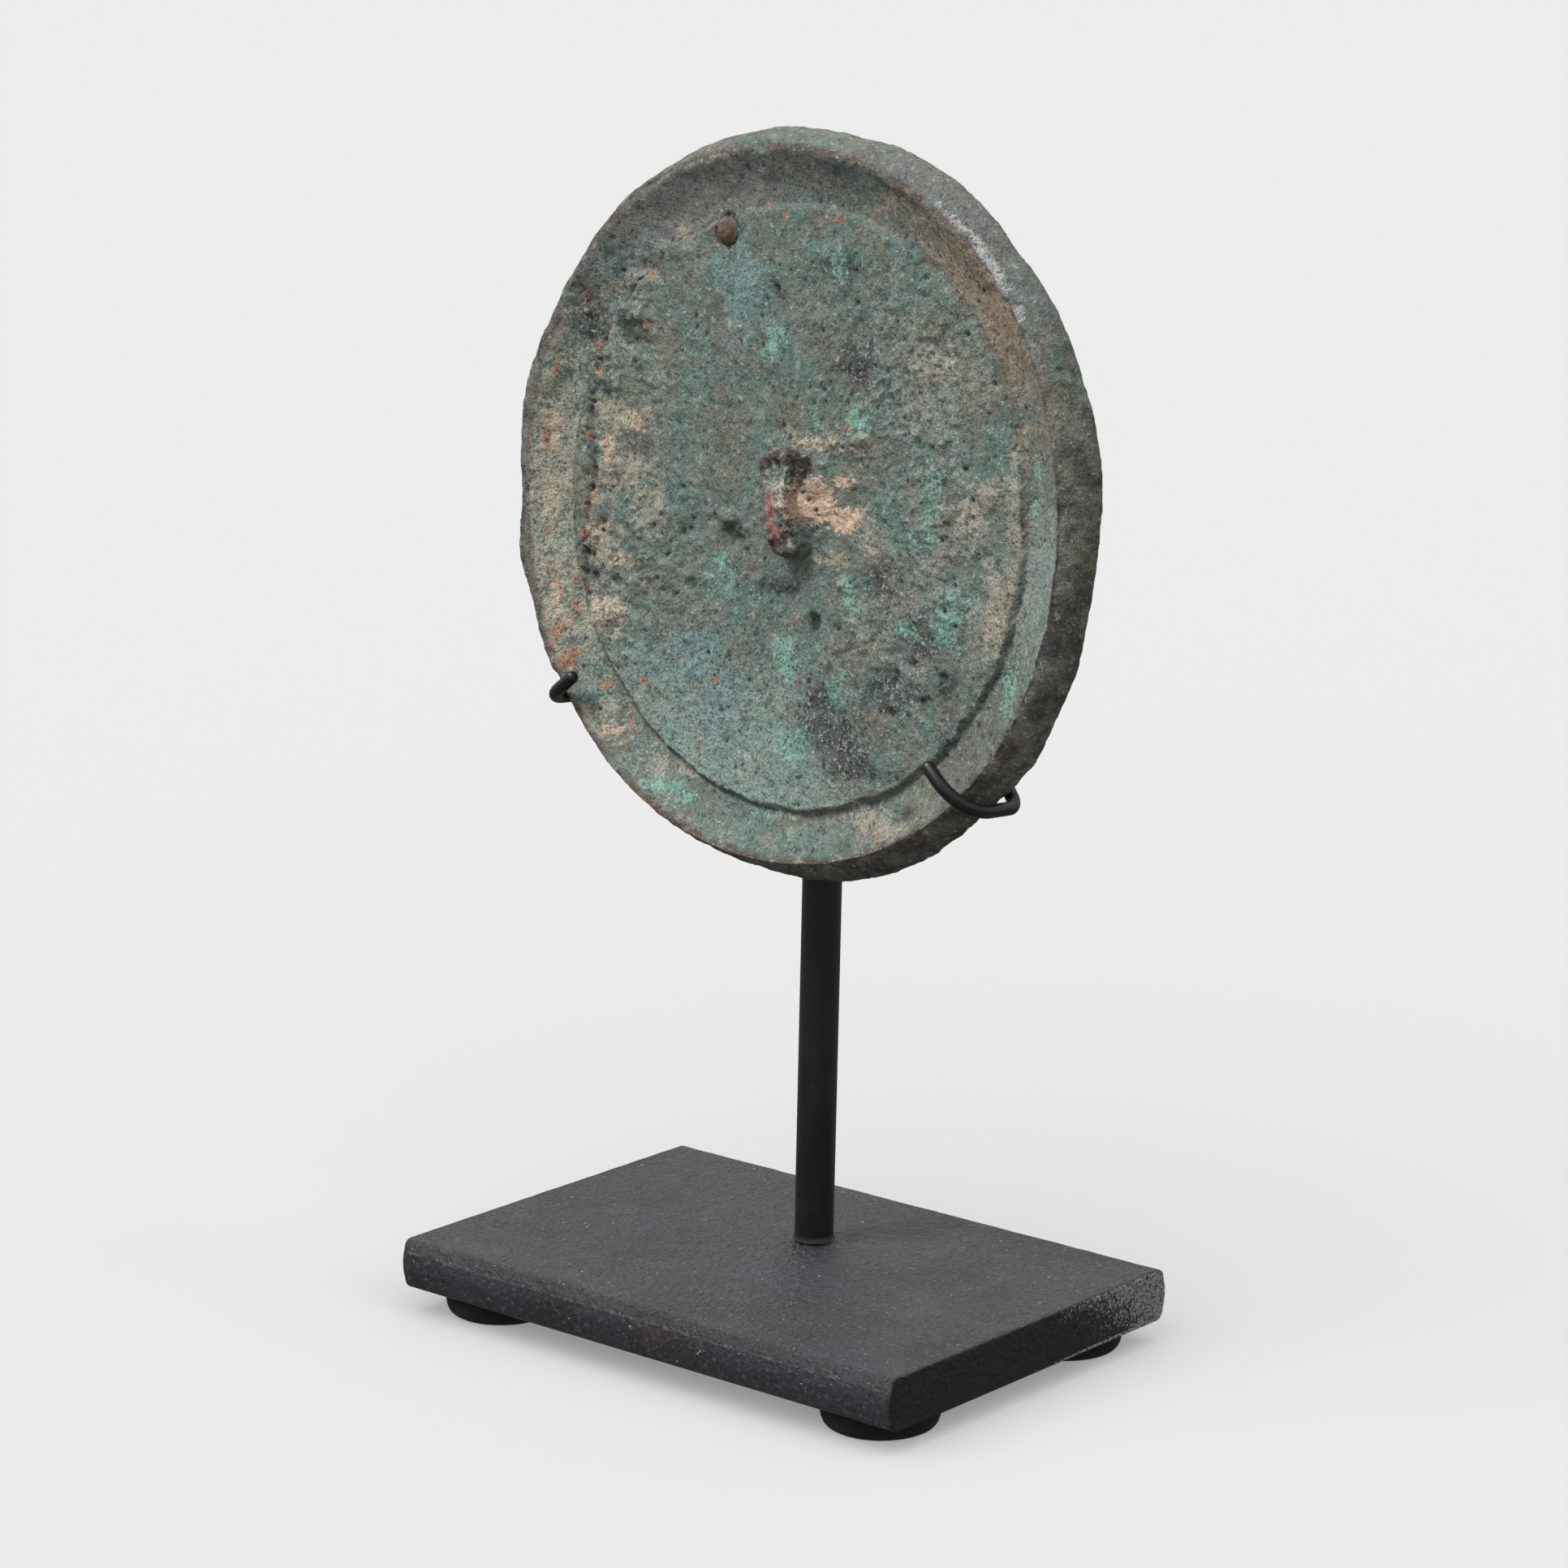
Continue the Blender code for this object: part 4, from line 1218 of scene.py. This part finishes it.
def near_line(corners):
    """Distance in the front view to a line through corners."""
    nearest = np.full(len(plain), 99.0)
    for (ax, az), (bx, bz) in zip(corners, corners[1:]):
        run = np.array([bx - ax, bz - az])
        share = np.clip(((x - ax) * run[0] + (z - az) * run[1]) / (run @ run), 0, 1)
        nearest = np.minimum(nearest, np.hypot(x - ax - share * run[0], z - az - share * run[1]))
    return nearest


# %% Swells, lumps, pits and crumbs
SWELL_HEIGHT = 0.12
LUMP_HEIGHT = 0.14
GRAIN_HEIGHT = 0.13
CRUST_HEIGHT = 0.09
PIT_DEPTH = 0.26
CRUMB_HEIGHT = 0.24
WALL_STRENGTH = 0.55
BACK_STRENGTH = 0.35

from_middle = np.hypot(x, z + FIELD_DROP)
band = front * smooth(FIELD_RADIUS - 0.3, FIELD_RADIUS + 0.5, from_middle)
rough_area = blots(ROUGH_PLACES, 0.4)
strength = (0.85 + 0.9 * rough_area) * (1 - 0.45 * band)
swell = layered_noise(plain, 8.0, 71, 2)
lumps = layered_noise(plain, 2.3, 73, 3)
grains = layered_noise(plain, 0.85, 79, 2)
pit_far, pit_number = scattered(plain, 1.15, 83)
pits = (1 - smooth(0.10, 0.42, pit_far)) * smooth(0.45, 0.9, pit_number)
crumb_far, crumb_number = scattered(plain, 0.95, 87)
crumbs = (1 - smooth(0.10, 0.45, crumb_far)) * smooth(0.62, 0.9, crumb_number)
crumbs *= 0.25 + 0.75 * rough_area
crust = smooth(0.10, 0.35, lumps) * 0.6
relief = swell * SWELL_HEIGHT + lumps * LUMP_HEIGHT + grains * GRAIN_HEIGHT + crust * CRUST_HEIGHT
relief += crumbs * CRUMB_HEIGHT - pits * PIT_DEPTH
relief *= np.where(front > 0, strength, np.where(on_wall > 0, WALL_STRENGTH, BACK_STRENGTH))
print("relief so far, in mm:", relief.min().round(2), "to", relief.max().round(2))

# %% The rusty line, hollows, blisters and nodule
rusty = front * np.exp(-((near_line(RUSTY_LINE) + 0.5 * edge_wander) / 0.9) ** 2)
relief -= rusty * smooth(0.0, 0.5, fine_wander) * 0.5
hollow_depth = np.zeros(len(plain))
for middle_x, middle_z, half, depth in HOLLOWS:
    far = np.hypot(x - middle_x, z - middle_z) / half + 0.45 * fine_wander
    hollow_depth += front * depth * (1 - smooth(0.2, 1.2, far))
relief -= hollow_depth
for middle_x, middle_z, half_wide, half_high, rise in BLISTERS:
    far = np.hypot((x - middle_x) / half_wide, (z - middle_z) / half_high) + 0.35 * edge_wander
    relief += front * rise * (1 - smooth(0.4, 1.2, far)) * (0.7 + 0.6 * lumps)
nodule_x, nodule_z, nodule_half, nodule_rise = NODULE
nodule_far = np.hypot(x - nodule_x, z - nodule_z) / nodule_half
nodule_dome = np.sqrt(np.clip(1 - nodule_far ** 2, 0, 1))
nodule_moat = np.exp(-((nodule_far - 1.15) / 0.2) ** 2)
relief += front * nodule_rise * (nodule_dome - 0.45 * nodule_moat)
print("relief with them, in mm:", relief.min().round(2), "to", relief.max().round(2))

# %% The knob's torn skin and the cracked earth
loop_x, loop_z, loop_wide, loop_high = LOOP
loop_far = np.hypot((x - loop_x) / loop_wide, (z - loop_z) / loop_high) + 0.22 * fine_wander
upper_part = smooth(-0.9, 0.5, (z - loop_z) - 0.4 * (x - loop_x) + lumps)
loop = front * np.exp(-((loop_far - 0.95) / 0.21) ** 2) * upper_part
inside_loop = front * (1 - smooth(0.6, 0.85, loop_far))
on_knob = front * smooth(0.8, 1.6, knob_height(x, z))
# Painted shade: a dark band about halfway up the knob's left flank, laid on in the knob's crust colours.
edge_height = (knob_height(x, z) + 0.5 * fine_wander - 2.0) / 0.8
knob_edge_shade = front * np.exp(-edge_height ** 2) * smooth(1.5, -0.5, x)
relief += loop * 0.30 - inside_loop * 0.28 + on_knob * (lumps * 0.12 + grains * 0.16)
crack = np.zeros(len(plain))
for corners in CRACKS:
    crack = np.maximum(crack, np.exp(-((near_line(corners) + 0.06 * fine_wander) / 0.15) ** 2))
crack *= front
relief -= crack * 0.14
print("points on the knob:", int((on_knob > 0.5).sum()), "in cracks:", int((crack > 0.5).sum()))

# %% Rim chips and the worn lip
STEP_WANDER = 0.28
step_wander = layered_noise(plain, 3.0, 89, 4)
step_shift = dish_height(radius, angle, step_wander * STEP_WANDER) - dish_height(radius, angle)
relief += front * step_shift * smooth(30, 33, radius)
upper_lip = front + on_wall * smooth(LIP_HEIGHT * 0.7, LIP_HEIGHT, height)
lip_near = np.exp(-((radius - lip_radius(angle)) / 0.6) ** 2) * upper_lip
relief -= lip_near * (0.10 + 0.16 * np.maximum(layered_noise(plain, 1.8, 97, 3), -0.3))
crumbled = lip_near * around(angle, 40, 9) * smooth(0.0, 0.5, layered_noise(plain, 1.5, 101, 3))
relief -= crumbled * 0.35
on_rim = on_wall * (1 - smooth(LIP_HEIGHT * 0.45, LIP_HEIGHT * 0.9, height))
chips = sum(depth * around(angle, middle, half) for middle, half, depth in RIM_CHIPS)
room = np.abs(layered_noise(plain, 3.2, 103, 3)) * 0.16
relief = np.where(on_wall > 0, np.minimum(relief - 0.12 - room, 0.0), relief)
relief -= (on_rim + on_back * smooth(42.0, 43.4, radius)) * chips * (0.8 + 0.4 * fine_wander)
relief = np.where(on_back > 0, np.clip(relief, -0.25, 0.02), relief)
print("deepest chip in the rim, in mm:", chips.max().round(2))

# %% [markdown]
# # Weighing the colours
# Each crust becomes a number per point, which the finish reads. Painting an image would need a
# picture file and would not follow the relief. Numbers do: raised grains are painted paler, as dust
# and as a painted highlight, and pits are painted darker, as dirt and as painted shade. The band
# round the field has its own shares: greyish at the upper left, brown at the upper right, pale on
# the right, grey at the lower right and sandy on the left. The step and the lip are marked by thin
# lines.

# %% Shares of the field, the band, the wall and the lip
low_field = front * (1 - smooth(-34, 2, z)) * smooth(26, 4, x) * (1 - band * 0.6)
speckled_left = smooth(0.05, 0.5, layered_noise(plain, 2.6, 107, 3)) * smooth(-12, -26, x) * front
orange_left = front * smooth(0.62, 0.85, layered_noise(plain, 1.4, 109, 3)) * smooth(-24, -37, x)
at_step = front * np.exp(-((from_middle + step_wander * STEP_WANDER - FIELD_RADIUS - 0.45) / 0.42) ** 2)
upper_right_step = around(angle, 40, 55)
upper_wall = on_wall * smooth(LIP_HEIGHT * 0.66, LIP_HEIGHT * 0.93, height)
ragged = layered_noise(plain, 1.3, 113, 4)
# A painted highlight: a pale silvery shine along the lip, on the upper right of the wall.
painted_sheen = upper_wall * around(angle, 46, 20) * smooth(-0.9, 0.1, ragged)
rust_patches = smooth(0.25, 0.7, layered_noise(plain, 1.3, 117, 3))
green_patches = smooth(0.2, 0.6, layered_noise(plain, 2.4, 127, 3))
print("speckled points:", int((speckled_left > 0.5).sum()), "silvery points:", int((painted_sheen > 0.5).sum()))

# %% Numbers for the colours
# The depth of the grain, which the finish paints darker in pits, as dirt and painted shade, and paler on
# raised grains, as dust and painted highlight.
depth_of_grain = lumps * 0.12 + grains * 0.14 - pits * 0.36 + crumbs * 0.30 - hollow_depth * 0.6
orange = np.maximum(blots(ORANGE, 0.35, 1.4), orange_left)
lower_end = 0.8 * on_knob * smooth(-1.4, -3.2, z)
beside_earth = 0.8 * blots(((3.1, 4.2, 1.0, 1.0),))
beyond_step = smooth(35.2, 36.6, from_middle)
values = {
    "relief": np.clip(0.5 + depth_of_grain * front, 0, 1),
    "orange": np.maximum(orange, rusty * rust_patches),
    "rusty": rusty,
    "knob_skin": on_knob,
    "sparkling": blots(SPARKLING, 0.9),
    "crumbly": blots(CRUMBLY, 0.6, 1.5),
    "pale_band": band * around(angle, -6, 20),
    "pinkish": blots(PINKISH, 0.8),
    "sandy": np.clip(np.maximum(blots(SANDY, 0.8), speckled_left * 0.8), 0, 1),
    "turquoise": np.maximum(blots(TURQUOISE, 0.8), on_wall * around(angle, 32, 14) * green_patches),
    "bluish": blots(BLUISH, 0.7),
    "charcoal": blots(CHARCOAL, 0.6),
    "brown_band": np.clip(band * around(angle, 43, 31) * beyond_step, 0, 1),
    "sandy_band": band * around(angle, 184, 42),
    "grey_band": band * around(angle, -36, 20),
    "earth": blots(EARTH, 0.3, 1.3),
    "earth_in_shade": blots(EARTH_IN_SHADE, 0.1, 1.1),
    "bare_copper": blots(BARE_COPPER, 0.3, 1.3) * (1 - inside_loop),
    # Besides the knob's crusts, this number carries the painted shade on the knob's left flank.
    "loop": np.clip(loop + lower_end + 0.9 * knob_edge_shade + beside_earth, 0, 1),
    "dark_band": band * around(angle, 118, 44),
    "pale": low_field,
    "wall_pale": on_wall * around(angle, 58, 32),
    "wall_dark": on_wall * (1 - around(angle, 66, 44)),
    "painted_sheen": painted_sheen,
    "behind": on_back,
    "crack": crack,
    "nodule": front * (1 - smooth(0.85, 1.05, nodule_far)),
    "dark_ring": front * np.exp(-((nodule_far - 1.2) / 0.22) ** 2),
    "lip": lip_near * (1 - 0.6 * around(angle, -14, 42)),
    "step_brown": at_step * upper_right_step,
    "step_dark": at_step * (1 - upper_right_step) * (1 - 0.9 * around(angle, -42, 42)),
}
print("numbers per point:", len(values))

# %% [markdown]
# # The finish of corroded bronze
# The crusts lie over each other: a green skin over everything, then patches of other crusts, and
# earth and rust near the top. One noise with many colours would mix them, so each crust is a layer
# of its own, in a list. Every layer's edge is broken up by grain much finer than the ovals, so that
# no border is smooth. Low grain is painted nearly black, as dirt and as painted shade, and high
# grain is painted pale, as wear and as a painted highlight, which gives the granular look, and a
# few tiny painted highlights stand for crystals that glint. The grain shows least on the earth.
#
# A row of the list gives the number that the layer reads, its colour on a screen, how far the
# grain spreads its edge, where the layer starts and where it is full, and the most that it covers.
# Rows without a colour have two, mixed by the grain, from the second table.

# %% Layers of the patina
PATINA = (
    ("pale", (148, 168, 157), 1.8, 0.35, 1.3, 0.75),
    ("dark_band", (150, 145, 137), 1.6, 0.30, 1.1, 0.7),
    ("bluish", (118, 152, 152), 2.4, 0.40, 1.3, 0.62),
    ("charcoal", (50, 51, 54), 2.6, 0.30, 1.00, 0.85),
    ("pinkish", (152, 149, 139), 3.2, 0.45, 1.5, 0.6),
    ("sandy", (176, 164, 143), 2.6, 0.35, 1.25, 0.7),
    ("sandy_band", (178, 172, 152), 2.6, 0.30, 1.2, 0.75),
    ("crumbly", (200, 174, 146), 2.8, 0.38, 1.15, 0.75),
    ("grey_band", (102, 96, 88), 2.2, 0.25, 1.0, 0.7),
    ("brown_band", (156, 130, 110), 2.2, 0.28, 1.05, 0.82),
    ("pale_band", (142, 150, 140), 2.2, 0.30, 1.1, 0.7),
    ("sparkling", None, 3.2, 0.55, 1.30, 0.62),
    ("turquoise", (128, 175, 156), 3.6, 0.42, 1.20, 0.75),
    ("wall_pale", (108, 103, 98), 2.2, 0.30, 1.0, 0.8),
    ("wall_dark", None, 2.2, 0.25, 0.9, 0.85),
    # A painted highlight along the lip.
    ("painted_sheen", (182, 182, 178), 1.6, 0.35, 0.9, 0.75),
    ("behind", (92, 104, 92), 2.6, 0.35, 1.1, 0.75),
    ("step_brown", (120, 92, 72), 1.6, 0.40, 1.1, 0.75),
    ("step_dark", (62, 60, 54), 1.8, 0.40, 1.1, 0.75),
    ("rusty", (70, 54, 45), 2.6, 0.40, 1.2, 0.75),
    ("lip", (88, 64, 55), 3.0, 0.40, 1.1, 0.85),
    ("knob_skin", None, 3.0, 0.40, 1.3, 0.75),
    ("loop", None, 2.0, 0.35, 0.9, 0.9),
    ("bare_copper", (164, 108, 94), 1.2, 0.40, 0.75, 0.9),
    ("earth", None, 1.6, 0.40, 0.75, 1.0),
    # Painted shade on the earth under the knob's bridge.
    ("earth_in_shade", (164, 143, 120), 0.5, 0.40, 0.7, 0.95),
    ("orange", None, 2.4, 0.45, 0.95, 0.8),
    ("nodule", (112, 84, 68), 1.0, 0.40, 0.6, 0.9),
    ("dark_ring", (46, 40, 36), 1.0, 0.40, 0.9, 0.8),
    ("crack", (104, 80, 66), 0.8, 0.45, 0.9, 0.8),
)
TWO_COLOURS = {
    "sparkling": ("fine", 0.52, 0.62, (46, 44, 44), (178, 180, 172)),
    "wall_dark": ("clouds", 0.42, 0.58, (74, 63, 56), (112, 107, 95)),
    "knob_skin": ("flecks", 0.42, 0.56, (66, 52, 48), (172, 166, 152)),
    "loop": ("flecks", 0.54, 0.64, (70, 50, 48), (168, 164, 158)),
    "earth": ("fine", 0.35, 0.65, (186, 154, 128), (216, 187, 158)),
    "orange": ("fine", 0.35, 0.65, (138, 90, 62), (184, 122, 82)),
}
print("layers of patina:", len(PATINA), "of which in two colours:", len(TWO_COLOURS))


# %% The green skin and its layers
def green_skin(tree, noise):
    """Grey green that wanders to olive, dark green, pale green and brown."""
    broad, clouds, blooms = noise["broad"], noise["clouds"], noise["blooms"]
    skin = mixed(tree, ranged(tree, broad, 0.38, 0.62), tone(112, 112, 99), tone(100, 120, 110))
    skin = mixed(tree, ranged(tree, clouds, 0.52, 0.68, 0.0, 0.7), skin, tone(134, 128, 112))
    skin = mixed(tree, ranged(tree, clouds, 0.48, 0.32, 0.0, 0.7), skin, tone(78, 84, 76))
    skin = mixed(tree, ranged(tree, blooms, 0.58, 0.70, 0.0, 0.6), skin, tone(112, 150, 138))
    return mixed(tree, ranged(tree, blooms, 0.42, 0.32, 0.0, 0.5), skin, tone(96, 84, 70))


def crust_colour(tree, noise, label, screen_colour):
    if label not in TWO_COLOURS:
        return tone(*screen_colour)
    grain_name, low, high, dark, light = TWO_COLOURS[label]
    blend = mixed(tree, ranged(tree, noise[grain_name], low, high), tone(*dark), tone(*light))
    if label == "wall_dark":
        green = ranged(tree, noise["blooms"], 0.60, 0.70, 0.0, 0.5)
        blend = mixed(tree, green, blend, tone(92, 116, 100))
    return blend


def layered_patina(tree, noise):
    """Each layer covers where its number, roughened by the crumbs, is high enough."""
    crumbs = combined(tree, "ADD", noise["blooms"], noise["fine"])
    crumbs = combined(tree, "SUBTRACT", crumbs, 1.0)
    colour = green_skin(tree, noise)
    for label, screen_colour, spread, low, high, most in PATINA:
        sockets = {0: crumbs, 1: spread, 2: painted(tree, label)}
        ragged = shade(tree, "ShaderNodeMath", sockets, operation="MULTIPLY_ADD").outputs[0]
        cover = ranged(tree, ragged, low, high, 0.0, most)
        colour = mixed(tree, cover, colour, crust_colour(tree, noise, label, screen_colour))
    return colour


# %% Grain, dirt and glints
COOL_TINT = (1.01, 1.05, 1.11, 1.0)


def grained(tree, noise, colour):
    """Dirt and painted shade in the low grain, wear and painted highlight on the high grain, flecks, grit and
    tiny painted highlights, less of it on the earth.
    """
    middle, fine, flecks, dust = noise["middle"], noise["fine"], noise["flecks"], noise["dust"]
    height = combined(tree, "MULTIPLY", middle, 0.55)
    height = combined(tree, "ADD", height, combined(tree, "MULTIPLY", fine, 0.45))
    dull = ranged(tree, painted(tree, "earth"), 0.3, 0.8, 1.0, 0.45)
    # Low grain of the bump is painted dark, as dirt and painted shade, high grain pale, as wear and painted
    # highlight; then pale green and dark flecks.
    for grain_of, low, high, most, cover_colour in (
        (height, 0.48, 0.37, 0.74, (48, 44, 38)),
        (height, 0.53, 0.65, 0.60, (188, 192, 178)),
        (flecks, 0.64, 0.72, 0.6, (136, 172, 158)),
        (flecks, 0.36, 0.29, 0.75, (52, 42, 36)),
    ):
        cover = combined(tree, "MULTIPLY", ranged(tree, grain_of, low, high, 0.0, most), dull)
        colour = mixed(tree, cover, colour, tone(*cover_colour))
    # Pits and hollows of the mesh are painted darker, as dirt and painted shade, and raised grains paler, as
    # dust and painted highlight.
    deep = ranged(tree, painted(tree, "relief"), 0.44, 0.14, 0.0, 0.85)
    colour = mixed(tree, deep, colour, tone(44, 40, 35))
    proud_dust_and_highlight = ranged(tree, painted(tree, "relief"), 0.56, 0.82, 0.0, 0.45)
    colour = mixed(tree, proud_dust_and_highlight, colour, tone(176, 176, 160))
    specks = ranged(tree, dust, 0.32, 0.68, 0.86, 1.58)
    colour = mixed(tree, 1.0, colour, specks, "MULTIPLY")
    colour = mixed(tree, 1.0, colour, COOL_TINT, "MULTIPLY")
    # Painted highlights: a few tiny pale points, as on crystals catching the light.
    painted_glints = combined(tree, "MULTIPLY", ranged(tree, dust, 0.74, 0.78, 0.0, 0.8), dull)
    return mixed(tree, painted_glints, colour, tone(222, 226, 216))


# %% Bronze finish
def bronze_finish():
    material, tree, shader = new_finish("corroded_bronze")
    where = place_in_mm(tree)
    noise = {
        "broad": grain(tree, where, 7.0, 6.0, 0.62),
        "clouds": grain(tree, where, 3.0, 6.0, 0.65, 5.0),
        "blooms": grain(tree, where, 1.7, 5.0, 0.7, 9.0),
        "flecks": grain(tree, where, 0.8, 4.0, 0.7, 11.0),
        "middle": grain(tree, where, 0.9, 4.0, 0.70, 1.0),
        "fine": grain(tree, where, 0.38, 3.0, 0.7, 2.0),
        "dust": grain(tree, where, 0.16, 2.0, 0.7, 3.0),
    }
    colour = grained(tree, noise, layered_patina(tree, noise))
    rough = ranged(tree, noise["middle"], 0.3, 0.7, 0.58, 0.85)
    bumps = raised(tree, noise["middle"], 0.75)
    bumps = raised(tree, noise["fine"], 0.42, bumps)
    bumps = raised(tree, noise["dust"], 0.12, bumps)
    finish_with(tree, shader, colour, rough, bumps)
    shader.inputs["Specular IOR Level"].default_value = 0.35
    return material


# %% Mirror
def make_mirror():
    outward = point_normals(plain, mirror_faces)
    if (outward[:, 1] * front).sum() > 0:
        outward = -outward
    worn = plain + outward * relief[:, None]
    turn = np.array(MIRROR_MATRIX.to_3x3())
    points = worn @ turn.T + np.array(MIRROR_MATRIX.translation)
    finish = bronze_finish()
    make_piece("bronze_mirror", "mirror", points * MM, mirror_faces, finish, 80, values)


make_mirror()

# %% [markdown]
# The size before and after
# The finished looks may not be bigger than the part, because whoever uses the part trusts its box.
# Both sizes are printed.

# %% Sizes before and after
sizes = {
    "before": [list(part_bounds[0]), list(part_bounds[1])],
    "after": [list(corner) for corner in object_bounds()],
}
print("size before and after:", sizes)
